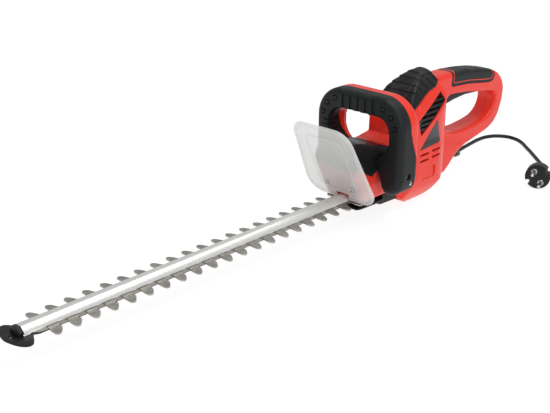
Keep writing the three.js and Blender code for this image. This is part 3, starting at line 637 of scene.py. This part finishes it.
# %% [markdown]
# Covers are cut from the same form, so that they meet the shells with an even seam all round. A region is an
# outline seen from the side. The shell keeps what is outside every region, and a deeper skin below the covers.

# %% Cover regions
COWL_SIDE = [(-430, 56), (-470, 50), (-498, 35), (-540, 62), (-536, 68), (-514, 75.5), (-500, 100),
             (-430, 100)]
CAP_SIDE = [(-530, 78), (-556, 78), (-566, 97), (-581, 108.5), (-594, 113), (-611, 121), (-626, 126.5),
            (-638, 128.5), (-648, 132), (-653, 137), (-656, 160), (-530, 160)]
GRIP_SIDE = [(-693, 117), (-738, 113.5), (-773, 108), (-794, 105), (-803, 106), (-808, 113), (-806, 122),
             (-804, 132), (-800, 145), (-712, 145), (-695, 141)]
VENT = [(-596, 69), (-589, 92), (-650, 122), (-657, 108)]
BADGE = [(-595, 49), (-642, 52), (-633, 87)]
SEAM = 0.25
WIDE = 90


def region(name, outline, amount=0.0, reach=0.0, half_width=WIDE):
    outline = inset(outline, amount)
    return slab(name, softened(outline, reach) if reach else outline, "y", -half_width, half_width)


def ring_region(name, outline, outer_inset, inner_inset):
    """The band of a region between two insets of its outline."""
    return combine("DIFFERENCE", region(name, outline, outer_inset, 4),
                   region("inside", outline, inner_inset, 4, WIDE + 5))


GROOVE_IN = 4.4
GROOVE_OUT = 5.6
covers_cut = region("covers", COWL_SIDE, -SEAM)
combine("UNION", covers_cut, region("cap_region", CAP_SIDE, -SEAM, 1.5))
combine("UNION", covers_cut, combine("DIFFERENCE", region("grip_region", GRIP_SIDE, -SEAM, 4),
                                     ring_region("red_line", GRIP_SIDE, GROOVE_IN, GROOVE_OUT)))
shell = copied(form, "shell")
combine("DIFFERENCE", shell, covers_cut)
combine("UNION", shell, copied(skin_deep, "deep_skin"))
combine("DIFFERENCE", shell, copied(cavity, "hollow"))

# %% [markdown]
# The side wall has a slanting vent, a three-cornered plate, four cooling slots and a shallow thumb recess.
# They are cut through or into the wall with slabs, which is how slides in the mould make them.

# %% Openings in the wall
def both_sides(name, outline, depth_from, depth_to=WIDE, rim=0):
    left = slab(name, outline, "y", depth_from, depth_to, rim)
    right = slab(name + "_right", outline, "y", -depth_to, -depth_from, rim)
    return [left, right]


def round_rect(u0, u1, v0, v1, r, steps=6):
    return [*arc(u1 - r, v0 + r, r, -90, 0, steps), *arc(u1 - r, v1 - r, r, 0, 90, steps),
            *arc(u0 + r, v1 - r, r, 90, 180, steps), *arc(u0 + r, v0 + r, r, 180, 270, steps)]


SLOTS = [(-596, -617, 39), (-624, -645, 40), (-596, -617, 30), (-624, -645, 31)]   # front, rear, foot
WALL_SEAT = 36.2          # the floor of a shallow seat in the side wall
wall_cuts = [region("vent_hole", VENT, 0, 1.5)]
wall_cuts += [slab("slot", round_rect(rear, front, z, z + 3.4, 1.6), "y", -WIDE, WIDE)
              for front, rear, z in SLOTS]
wall_cuts += both_sides("badge_seat", inset(softened(anticlockwise(BADGE), 1.5), -SEAM), WALL_SEAT)
wall_cuts += both_sides("thumb_recess", round_rect(-634, -603, 2, 21, 5), WALL_SEAT)
wall_cuts.append(block("trigger_slot", -798, -684, -8.5, 8.5, 80, 118))
wall_cuts.append(block("gear_room", -602, -440, -26.3, 26.3, -17, 0.7))
wall_cuts.append(block("nose_room", -574, -440, -26.3, 26.3, -40, 0))
wall_cuts.append(block("rail_room", -506, -440, -10, 10, 0, 9.2))
wall_cuts.append(turned("cord_hole", [(5.3, -12), (5.3, 60)], CORD_EXIT, CORD_AIM))
combine("DIFFERENCE", shell, *wall_cuts)

# %% Red bead under the cap
bead = grown(form, "bead_form", 1.6)
bead_line = [(-566, 95.5), (-581, 107), (-594, 111.5), (-611, 119.5), (-626, 125), (-638, 127), (-638, 123.5),
             (-626, 121.5), (-611, 115.5), (-594, 107.5), (-581, 103.5), (-566, 92)]
combine("INTERSECT", bead, region("bead_region", bead_line))
combine("DIFFERENCE", bead, copied(skin_deep, "bead_back"))
combine("UNION", shell, bead)

# %% Left and right shells
HALF_GAP = 0.15
left_half = block("left_half", -900, -400, HALF_GAP, 60, -60, 200)
right_half = block("right_half", -900, -400, -60, -HALF_GAP, -60, 200)
left_shell = combine("INTERSECT", copied(shell, "left_shell"), left_half)
right_shell = combine("INTERSECT", shell, right_half)
right_shell.name = "right_shell"
HOUSING_SCREWS = [(-592, 30, 38), (-592, 102, 35), (-634, -8, 35.5), (-826, 72, D_HALF), (-748, 27, D_HALF)]
SIDEWAYS = Vector((0, -1, 0))
combine("DIFFERENCE", right_shell, *(turned("screw_hole", [(3.3, 8), (3.3, 60)], (x, 0, z), SIDEWAYS, 24)
                                     for x, z, _ in HOUSING_SCREWS))
finish(left_shell, "machine", RED, "red_plastic", "left_housing")
finish(right_shell, "machine", RED, "red_plastic", "right_housing")

# %% [markdown]
# The motor cap is a black shield with overlapping steps, like scales, that run across it. Its surface is moved
# out along its normals by a saw-tooth of the distance up the slope. Two creases along it divide the steps.

# %% Motor cap
CAP_STEP = 12.0
CAP_RISE = 1.2
SLOPE = Vector((-0.76, 0.65))


def smooth_step(value, low, high):
    t = min(1, max(0, (value - low) / (high - low)))
    return t * t * (3 - 2 * t)


def cap_relief(x, y, z):
    along = (Vector((x, z)) - Vector((-556, 78))).dot(SLOPE)
    tooth = (along / CAP_STEP) % 1
    lift = CAP_RISE * (1 - tooth) * smooth_step(tooth, 0, 0.12)
    middle = 1 - smooth_step(abs(y), 23, 26)
    crease = 0.6 * math.exp(-((abs(y) - 14) / 0.9) ** 2)
    edge = smooth_step(along, -4, 6)
    return 0.9 + (lift - crease) * middle * edge


cap = combine("INTERSECT", copied(form, "motor_shield"), region("cap_piece", CAP_SIDE, SEAM, 1.5))
combine("DIFFERENCE", cap, grown(form, "cap_back", -3))
melted(cap, 0.9, 2)
push_points(cap, cap_relief)
finish(cap, "machine", BLACK, "black_plastic", "motor_cap")

# %% Gear cowl
cowl = combine("INTERSECT", copied(form, "gear_shield"), region("cowl_piece", COWL_SIDE, SEAM))
combine("DIFFERENCE", cowl, grown(form, "cowl_back", -3))
melted(cowl, 0.9, 3)
finish(cowl, "machine", BLACK, "black_plastic", "gear_cowl")

# %% Rear grip pad
pad = combine("INTERSECT", copied(form, "grip_pad"),
              combine("DIFFERENCE", region("pad_region", GRIP_SIDE, SEAM, 4),
                      ring_region("line_room", GRIP_SIDE, GROOVE_IN - SEAM, GROOVE_OUT + SEAM)))
combine("DIFFERENCE", pad, grown(form, "pad_back", -3))
finish(pad, "machine", RUBBER, "soft_grip", "rear_grip")

# %% [markdown]
# Louvres repeat along a line, so a small node tree makes them: a line of points, one slat on each, then
# real geometry and a material, because a plain mesh is what leaves the modifier. The slats are trimmed by
# the window and by a sunken copy of the wall, so they follow its curve, and a thin frame holds them.

# %% Row of copies
def socket_id(tree, label):
    return next(item.identifier for item in tree.interface.items_tree if item.name == label
                and item.in_out == "INPUT")


def end_with(tree, geometry_out, material_out):
    realize = tree.nodes.new("GeometryNodeRealizeInstances")
    dressed = tree.nodes.new("GeometryNodeSetMaterial")
    result = tree.nodes.new("NodeGroupOutput")
    tree.links.new(geometry_out, realize.inputs["Geometry"])
    tree.links.new(realize.outputs["Geometry"], dressed.inputs["Geometry"])
    tree.links.new(material_out, dressed.inputs["Material"])
    tree.links.new(dressed.outputs["Geometry"], result.inputs["Geometry"])


def node_tree(name, inputs):
    tree = bpy.data.node_groups.new(name, "GeometryNodeTree")
    for label, kind in inputs:
        tree.interface.new_socket(label, in_out="INPUT", socket_type=kind)
    tree.interface.new_socket("Geometry", in_out="OUTPUT", socket_type="NodeSocketGeometry")
    return tree, tree.nodes.new("NodeGroupInput")


row, given = node_tree("Row of copies", [
    ("Geometry", "NodeSocketGeometry"), ("Shape", "NodeSocketObject"), ("Count", "NodeSocketInt"),
    ("Step", "NodeSocketVector"), ("Finish", "NodeSocketMaterial")])
line = row.nodes.new("GeometryNodeMeshLine")
line.mode = "OFFSET"
shape = row.nodes.new("GeometryNodeObjectInfo")
copies = row.nodes.new("GeometryNodeInstanceOnPoints")
row.links.new(given.outputs["Count"], line.inputs["Count"])
row.links.new(given.outputs["Step"], line.inputs["Offset"])
row.links.new(given.outputs["Shape"], shape.inputs["Object"])
row.links.new(line.outputs["Mesh"], copies.inputs["Points"])
row.links.new(shape.outputs["Geometry"], copies.inputs["Instance"])
end_with(row, copies.outputs["Instances"], given.outputs["Finish"])


def grow_tree(name, tree, values, points=()):
    """A new mesh made by a node tree; `values` are its inputs by name."""
    mesh = bpy.data.meshes.new(name)
    mesh.from_pydata([tuple(p) for p in points], [], [])
    piece = bpy.data.objects.new(name, mesh)
    scene.collection.objects.link(piece)
    modifier = piece.modifiers.new("nodes", "NODES")
    modifier.node_group = tree
    for label, value in values.items():
        modifier[socket_id(tree, label)] = value
    return settle(piece)


def discard(*pieces):
    for piece in pieces:
        bpy.data.objects.remove(piece)


# %% Vents and plates
LOUVRES = 8
vent_skin = combine("DIFFERENCE", grown(form, "vent_skin", -1.6, 1.5), grown(form, "vent_back", -4.8, 1.5))
for side, sign in (("left", 1), ("right", -1)):
    low, high = sorted((sign * 15, sign * 45))
    half = block("half", -700, -560, low, high, 50, 150)
    slat = slab("slat", [(-40, -1.8), (40, -1.8), (40, 1.8), (-40, 1.8)], "y", low, high,
                lay=lambda u, v, h: (-622 + u, h, 71 + v))
    slats = grow_tree(f"{side}_vent_slats", row, {
        "Shape": slat, "Count": LOUVRES, "Step": Vector((0, 0, 6.7)) * MM, "Finish": BLACK})
    face_outwards(slats.data)
    discard(slat)
    combine("INTERSECT", slats, region("vent_trim", VENT, 1.9, 1), copied(vent_skin, "slat_skin"))
    vent_frame = combine("DIFFERENCE", region(f"{side}_vent_frame", VENT, 0.25, 1.5),
                         region("vent_window", VENT, 2.0, 1.5, WIDE + 5))
    combine("INTERSECT", vent_frame, copied(vent_skin, "frame_skin"), half)
    finish(slats, "machine", BLACK, "black_plastic")
    finish(vent_frame, "machine", BLACK, "black_plastic", f"{side}_vent_grille")
    low, high = sorted((sign * 36.5, sign * 38.3))
    plate = slab(f"{side}_badge", softened(anticlockwise(BADGE), 1.5), "y", low, high, 0.6, 3)
    finish(plate, "machine", SLATE, "black_plastic", f"{side}_badge_plate")
discard(vent_skin)

# %% [markdown]
# The base plate closes the housing under the gears. It is one open tray, its rims eased for the hand.

# %% Base plate
BASE_SIDE = [(-476, 0.4), (-476, -8.8), (-484, -10.5), (-519, -11.5), (-527, -15), (-575, -16.5),
             (-600, -16.5), (-600, 0.4)]
base = slab("belly_plate", anticlockwise(BASE_SIDE), "y", -26, 26, 2.0)
combine("DIFFERENCE", base, block("blade_room", -602, -480, -24.5, 24.5, -7.5, 12),
        block("blade_way", -530, -470, -40, 40, -7.5, 12))
finish(base, "machine", BLACK, "black_plastic", "base_plate")

# %% [markdown]
# The front handle is an arch over the nose. Its black front is soft to grip, with grooves across the top and
# down the right leg, small square studs at the shoulders and two screws at each foot. Its back is a red half
# shell.

# %% Front handle arch
LOOP_W = 74
LOOP_TOP = 143
LOOP_R = 42
LOOP_BAR = 27
LOOP_FRONT = -503
LOOP_REAR = -543
LOOP_SPLIT = -523
outer_half = [(44, 12), (60, 12), (71, 20), (LOOP_W, 34),
              *arc(LOOP_W - LOOP_R, LOOP_TOP - LOOP_R, LOOP_R, 0, 90, 12)]
inner_half = [*arc(LOOP_W - LOOP_R, LOOP_TOP - LOOP_R - 4, LOOP_R - LOOP_BAR + 3, 90, 0, 8),
              (51, 84), (45, 70), (30, 60), (30, 50), (40, 30)]
LOOP_OUTLINE = [*outer_half, *mirrored(outer_half), *mirrored(inner_half), *inner_half]
arch = slab("arch", softened(anticlockwise(LOOP_OUTLINE)), "x", LOOP_REAR, LOOP_FRONT, 8.5, 6)
combine("DIFFERENCE", arch, grown(form, "form_room", 0.5))
melted(arch, 1.2, 4)
arch_core = grown(arch, "arch_core", -1.3, 1.6)
SPLIT_SIDE = [(LOOP_SPLIT, 170), (LOOP_SPLIT, 100), (LOOP_SPLIT - 5, 84), (LOOP_SPLIT - 16, 58),
              (LOOP_REAR - 9, 44), (LOOP_REAR - 9, 170)]
BAR_HALF = 42
handle_back = combine("INTERSECT", copied(arch, "front_handle_shell"), region("back_part", SPLIT_SIDE, 0.15))
handle_front = combine("DIFFERENCE", arch, region("back_room", SPLIT_SIDE, -0.15))
handle_front.name = "front_handle_cover"
for part in (handle_front, handle_back):
    combine("DIFFERENCE", part, block("bar_room", -534, -512, -BAR_HALF - 4, BAR_HALF + 4, 120, 137),
            block("bar_slot", -528.5, -517.5, -BAR_HALF, BAR_HALF, 105, 121))

# %% Ridges, studs and screw wells
RIDGE_PITCH = 12.7
grip_skin = combine("DIFFERENCE", copied(handle_front, "grip_skin"), arch_core)
bars = [block("valley", -519, -495, k * RIDGE_PITCH - 3, k * RIDGE_PITCH + 3, 112, 137, 0.8)
        for k in (-2, -1, 0, 1, 2)]
bars += [slab("leg_valley", round_rect(42, 60, 48 + k * 6.6, 51 + k * 6.6, 1.4, 3), "x", -520, -495,
              lay=lambda u, v, h: (h, -u, v)) for k in range(8)]
valleys = bars[0]
combine("UNION", valleys, *bars[1:])
combine("INTERSECT", valleys, grip_skin)
combine("DIFFERENCE", handle_front, valleys)
HANDLE_SCREWS = [(-522, 39), (-531, 27)]
STUD_ANGLES = (74, 42, 12)
STUD_R = 30
STUD_FLOOR = LOOP_FRONT - 1.9
wells = []
studs = []
for sign in (1, -1):
    outward = Vector((0, sign, 0))
    wells += [turned("well", [(4.4, LOOP_W - 5), (4.4, LOOP_W + 5)], (x, 0, z), outward, 28)
              for x, z in HANDLE_SCREWS]
    for angle in STUD_ANGLES:
        y = sign * (LOOP_W - LOOP_R + STUD_R * math.cos(math.radians(angle)))
        z = LOOP_TOP - LOOP_R + STUD_R * math.sin(math.radians(angle)) - 1
        wells.append(block("stud_well", STUD_FLOOR + 0.1, LOOP_FRONT + 3, y - 3.6, y + 3.6, z - 3.6, z + 3.6))
        studs.append(block("stud", STUD_FLOOR, LOOP_FRONT + 0.6, y - 2.4, y + 2.4, z - 2.4, z + 2.4, 0.8))
combine("DIFFERENCE", handle_front, *wells)
combine("UNION", handle_front, *studs)
finish(handle_front, "machine", RUBBER, "soft_grip", "front_handle_grip")
finish(handle_back, "machine", RED, "red_plastic", "front_handle_back")

# %% [markdown]
# The bar inside the arch is the front switch: the fingers press it up while the rear hand holds the trigger.
# Both are small mouldings with generous rims. They ride on their own bodies, so they travel.

# %% Switch bar and trigger
bar = block("front_bar", -527.9, -518.1, -BAR_HALF + 0.3, BAR_HALF - 0.3, 111.6, 122.4, 2.2)
bar_flange = block("bar_flange", -531, -515, -BAR_HALF + 0.3, BAR_HALF - 0.3, 121.4, 124, 0.6)
combine("UNION", bar, bar_flange)
finish(bar, "front_switch_bar", BLACK, "black_plastic", "front_switch_bar")

TRIGGER_SIDE = [(-688, 88), (-697, 88.5), (-715, 91.5), (-745, 93.5), (-775, 91.5), (-788, 92), (-794, 98),
                (-792, 106), (-750, 107), (-688, 109)]
trigger = slab("trigger_lever", softened(anticlockwise(TRIGGER_SIDE), 4), "y", -8, 8, 2.4)
combine("DIFFERENCE", trigger, turned("pin_hole", [(1.8, -10), (1.8, 10)], (-792, 0, 101), (0, 1, 0), 24))
finish(trigger, "trigger", BLACK, "soft_grip", "rear_trigger")

# %% [markdown]
# The hand guard is one clear moulding: a thin sheet, a thicker bead round its rim and a step line inside it.
# All three are drawn flat and then leaned forward about the guard's foot.

# %% Hand guard
GUARD_H = 125.5
GUARD_LOW_W = 58
GUARD_TOP_W = 50
GUARD_R = 24
GUARD_T = 2.6


def on_guard(u, v, h):
    """u across, v up the sheet, h forward of its front face."""
    cos, sin = math.cos(GUARD_TILT), math.sin(GUARD_TILT)
    return (GUARD_FOOT.x + h * cos + v * sin, u, GUARD_FOOT.z - h * sin + v * cos)


guard_half = [*arc(GUARD_LOW_W - GUARD_R, GUARD_R, GUARD_R, -90, 0, 10),
              *arc(GUARD_TOP_W - GUARD_R, GUARD_H - GUARD_R, GUARD_R, 0, 90, 10)]
GUARD_OUTLINE = [*guard_half, *mirrored(guard_half)]
step_half = [*arc(20, 28, 12, -90, 0), *arc(20, 94.5, 12, 0, 90)]
STEP_OUTLINE = [*step_half, *mirrored(step_half)]


def guard_band(name, outline, width, low, high, rim):
    band = slab(name, outline, "x", low, high, rim, 3, on_guard)
    hole = slab(name + "_hole", inset(outline, width), "x", low - 5, high + 5, 0, 1, on_guard)
    return combine("DIFFERENCE", band, hole)


guard = slab("guard_sheet", inset(GUARD_OUTLINE, 0.5), "x", -2.2, -0.4, 0.3, 3, on_guard)
combine("UNION", guard, guard_band("rim_bead", GUARD_OUTLINE, 3.2, -GUARD_T, 1.0, 1.0),
        guard_band("step_line", STEP_OUTLINE, 1.6, -1.5, 0.5, 0.3))
GUARD_SCREW_U = 22
GUARD_SCREW_V = 22
RAIL_NOTCH = [(-10.6, -5), (10.6, -5), (10.6, 9.5), (-10.6, 9.5)]
guard_aim = Vector(on_guard(0, 0, 1)) - Vector(on_guard(0, 0, 0))
combine("DIFFERENCE", guard,
        slab("rail_notch", RAIL_NOTCH, "x", -10, 10, 0, 1, on_guard),
        *(turned("guard_hole", [(1.9, -14), (1.9, 5)], on_guard(u, GUARD_SCREW_V, 0), guard_aim, 20)
          for u in (-GUARD_SCREW_U, GUARD_SCREW_U)))
finish(guard, "machine", MILKY, "clear_guard", "hand_guard")

# %% [markdown]
# The rail over the blades is an aluminium section: a flat ridge, two slopes and an upright lip on each side. It
# is one outline pushed along the machine. The tip guard is a plate with two lobes, holding the rail's end.

# %% Rail
RAIL_HALF = [(9.6, 0.3), (9.6, 2.4), (9.2, 2.8), (9.2, 3.7), (8.9, 4.2), (4.9, 8.1), (4.0, 8.5)]
rail = slab("cutter_rail_section", [*RAIL_HALF, *mirrored(RAIL_HALF)], "x", -500, 28)
combine("DIFFERENCE", rail, slab("rail_hollow", [(-7.4, -1), (7.4, -1), (7.4, 3), (3.4, 6.4), (-3.4, 6.4),
                                                 (-7.4, 3)], "x", -497, 25))
finish(rail, "machine", RAIL, "rail_aluminium", "cutter_rail", angle=50)

# %% Tip guard
tip_half = [(14.5, 8.5), (19.5, 12.5), (21, 16), (25, 22.7), (28.5, 27), (33, 28), (37.5, 25.5), (41, 20.5),
            (43.8, 13), (45.4, 5), (46, 2)]
TIP_OUTLINE = [*tip_half, *((x, -y) for x, y in reversed(tip_half))]
tip = slab("tip_plate", softened(anticlockwise(TIP_OUTLINE), 3), "z", -3.4, -0.8, 0.9, 4)
combine("DIFFERENCE", tip, block("blade_tip_room", 0, 28, -9, 9, -20, 20))
tip_cap_half = [(9.0, -5), (9.0, 3.9), (4.4, 8.8)]
tip_cap = slab("tip_cap", [*tip_cap_half, *mirrored(tip_cap_half)], "x", 28.3, 33.4, 1.0, 3)
combine("UNION", tip, tip_cap)
combine("DIFFERENCE", tip, slab("tip_hole", [(38.3 + 2.3 * u, 2.7 * v) for u, v in arc(0, 0, 1, 0, 345, 23)],
                                "z", -20, 20))
finish(tip, "machine", BLACK, "black_plastic", "tip_guard")

# %% [markdown]
# Screws are all alike, so one head is drawn and a node tree sets a copy on each point, turned to the one
# direction given for that set of points. The cross in a head is cut once, before it is copied.

# %% Screws
setter, given = node_tree("Set on points", [
    ("Geometry", "NodeSocketGeometry"), ("Shape", "NodeSocketObject"), ("Aim", "NodeSocketVector"),
    ("Finish", "NodeSocketMaterial")])
shape = setter.nodes.new("GeometryNodeObjectInfo")
align = setter.nodes.new("FunctionNodeAlignRotationToVector")
copies = setter.nodes.new("GeometryNodeInstanceOnPoints")
setter.links.new(given.outputs["Shape"], shape.inputs["Object"])
setter.links.new(given.outputs["Aim"], align.inputs["Vector"])
setter.links.new(given.outputs["Geometry"], copies.inputs["Points"])
setter.links.new(shape.outputs["Geometry"], copies.inputs["Instance"])
setter.links.new(align.outputs["Rotation"], copies.inputs["Rotation"])
end_with(setter, copies.outputs["Instances"], given.outputs["Finish"])

ZERO = (-FIRST_TOOTH_X, 0, -BLADE_PLANE_Z)     # the frame's own origin, in drawing numbers


def screw_head(radius, shank_radius, shank):
    head = turned("screw_model", [(0, -shank), (shank_radius, -shank), (shank_radius, -1.4), (radius, -1.4),
                                  (radius, -0.4), (radius * 0.8, 0.3), (0, 0.6)], ZERO, (0, 0, 1), 24)
    arms = [slab("arm", [(ZERO[0] - a, -b), (ZERO[0] + a, -b), (ZERO[0] + a, b), (ZERO[0] - a, b)], "z",
                 ZERO[2] - 1.0, ZERO[2] + 3) for a, b in ((radius * 0.6, 0.5), (0.5, radius * 0.6))]
    return combine("DIFFERENCE", head, *arms)


def screws(name, model, places, aim, *replaced):
    points = [at(*p) for p in places]
    made = grow_tree(name, setter, {"Shape": model, "Aim": aim, "Finish": BRIGHT}, points)
    face_outwards(made.data)
    finish(made, "machine", BRIGHT, "bright_steel", *replaced)


small, large = screw_head(2.9, 1.4, 6), screw_head(3.5, 1.5, 4)
screws("shell_screws", small, [(x, -(w - 1.6), z) for x, z, w in HOUSING_SCREWS], (0, -1, 0),
       *(f"housing_screw_{i}" for i in range(1, 6)))
for side, sign, first in (("left", 1, 1), ("right", -1, 3)):
    screws(f"{side}_handle_screws", large, [(x, sign * (LOOP_W - 3), z) for x, z in HANDLE_SCREWS],
           (0, sign, 0), f"handle_screw_{first}", f"handle_screw_{first + 1}")
screws("guard_screws", large, [on_guard(u, GUARD_SCREW_V, 1.2) for u in (GUARD_SCREW_U, -GUARD_SCREW_U)],
       tuple(guard_aim), "guard_screw_1", "guard_screw_2")
discard(small, large)

# %% [markdown]
# The plug is a round moulding with a deep notch on each side for the earth springs of a recessed socket. The
# pins stand in bright sleeves. Its tail and the machine's cord relief are ribbed, so that they bend evenly.

# %% Plug
PIN_ROLL = math.radians(-57)
level = Vector((-PLUG_AIM.y, PLUG_AIM.x, 0))
pin_line = level * math.cos(PIN_ROLL) + Vector((0, 0, math.sin(PIN_ROLL)))
notch_line = PLUG_AIM.cross(pin_line)
plug = turned("plug_moulding", [
    (0, -PLUG_L), (4.4, -PLUG_L), (5.0, -36), (5.0, -34.6), (4.4, -34.2), (4.6, -32.6), (5.4, -32.2),
    (5.4, -30.8), (4.9, -30.4), (5.2, -28.8), (6.5, -28.2), (8.5, -24), (12, -19.5), (16.4, -17),
    (18.1, -15.6), (PLUG_R, -14), (PLUG_R, -1.2), (17.8, -0.4), (16.6, 0), (0, 0)], PLUG_FACE, PLUG_AIM, 56)


def across_notch(name, sign):
    """A deep slot into the rim, its floor round."""
    middle = PLUG_FACE + notch_line * (sign * 17)
    outline = [(-3.4, 8), (3.4, 8), (3.4, -1), *arc(0, -1, 3.4, 0, -180, 10)[1:-1], (-3.4, -1)]
    return slab(name, outline, "z", -22, 4, 0, 1, lambda u, v, h: tuple(
        middle + pin_line * u + notch_line * (sign * v) + PLUG_AIM * h))


def pin_foot(sign):
    return PLUG_FACE + pin_line * (sign * 9.5)


combine("DIFFERENCE", plug, across_notch("notch", 1), across_notch("notch", -1),
        *(turned("socket", [(4.4, -4), (4.4, 5)], pin_foot(s), PLUG_AIM, 28) for s in (1, -1)))
finish(plug, "machine", CORD_RUBBER, "black_plastic", "plug_body")
PIN_PROFILE = [(0, -3.8), (2.4, -3.8), (2.4, 16.6), (2.1, 18), (1.3, 18.8), (0, 19)]
SLEEVE_PROFILE = [(3.3, -3.7), (4.3, -3.7), (4.3, 0.5), (3.9, 0.8), (3.3, 0.5), (3.3, -3.7)]
pins = []
for number, sign in ((1, 1), (2, -1)):
    pin = turned(f"round_pin_{number}", PIN_PROFILE, pin_foot(sign), PLUG_AIM, 28)
    finish(pin, "machine", BRIGHT, "bright_steel", f"plug_pin_{number}")
    sleeve = turned(f"pin_sleeve_{number}", SLEEVE_PROFILE, pin_foot(sign), PLUG_AIM, 32)
    finish(sleeve, "machine", BRIGHT, "bright_steel")
    pins += [pin, sleeve]

# %% Strain relief
relief_profile = [(0, 0), (5.0, 0), (5.0, 12)]
RELIEF_RINGS = 7
for ring in range(RELIEF_RINGS):
    start = 12 + ring * 4.2
    radius = 4.9 - ring * 0.22
    relief_profile += [(radius, start + 0.3), (radius, start + 2.3), (radius - 0.9, start + 2.7),
                       (radius - 0.9, start + 3.9)]
relief_profile += [(3.4, RELIEF_L - 1), (3.2, RELIEF_L), (0, RELIEF_L)]
relief = turned("cord_relief", relief_profile, CORD_EXIT, CORD_AIM, 36)
finish(relief, "machine", CORD_RUBBER, "black_plastic", "strain_relief")

discard(form, skin_deep, cavity)

# %% [markdown]
# The setting is a white sweep. Its floor shows nearly its own white wherever it is seen, and takes only faint
# shadows, so it is mostly emission. The world lights the machine softly and is plain white behind it.

# %% Floor and light
floor_mesh = bpy.data.meshes.new("floor")
floor_mesh.from_pydata([(-6, -6, 0), (6, -6, 0), (6, 6, 0), (-6, 6, 0)], [], [(0, 1, 2, 3)])
floor = bpy.data.objects.new("floor", floor_mesh)
scene.collection.objects.link(floor)
white = bpy.data.materials.new("floor_white")
white.use_nodes = True
sweep = white.node_tree.nodes["Principled BSDF"]
sweep.inputs["Base Color"].default_value = (0.22, 0.22, 0.22, 1)
sweep.inputs["Specular IOR Level"].default_value = 0.0
sweep.inputs["Emission Color"].default_value = (1, 1, 1, 1)
sweep.inputs["Emission Strength"].default_value = 0.88
floor_mesh.materials.append(white)
world = bpy.data.worlds.new("studio")
scene.world = world
world.use_nodes = True
backdrop = world.node_tree.nodes["Background"]
backdrop.inputs["Color"].default_value = (1, 1, 1, 1)
seen = world.node_tree.nodes.new("ShaderNodeLightPath").outputs["Is Camera Ray"]
strength = world.node_tree.nodes.new("ShaderNodeMapRange")
strength.inputs["To Min"].default_value = 0.5
strength.inputs["To Max"].default_value = 1.0
world.node_tree.links.new(seen, strength.inputs["Value"])
world.node_tree.links.new(strength.outputs["Result"], backdrop.inputs["Strength"])


def softbox(name, place, target, size, power):
    data = bpy.data.lights.new(name, "AREA")
    data.shape = "SQUARE"
    data.size = size
    data.energy = power
    light = bpy.data.objects.new(name, data)
    scene.collection.objects.link(light)
    light.location = place
    light.rotation_euler = (Vector(target) - Vector(place)).to_track_quat("-Z", "Y").to_euler()


softbox("top_box", (-0.4, 0.3, 1.6), (-0.1, 0, 0), 1.2, 13)
softbox("side_box", (0.6, 1.6, 0.9), (-0.1, 0, 0.1), 0.9, 9)
scene.view_settings.view_transform = "Standard"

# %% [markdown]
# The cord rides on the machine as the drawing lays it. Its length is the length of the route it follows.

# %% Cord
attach(cord, "machine")
cord.data.materials.append(CORD_RUBBER)
shade(cord)
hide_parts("cord")
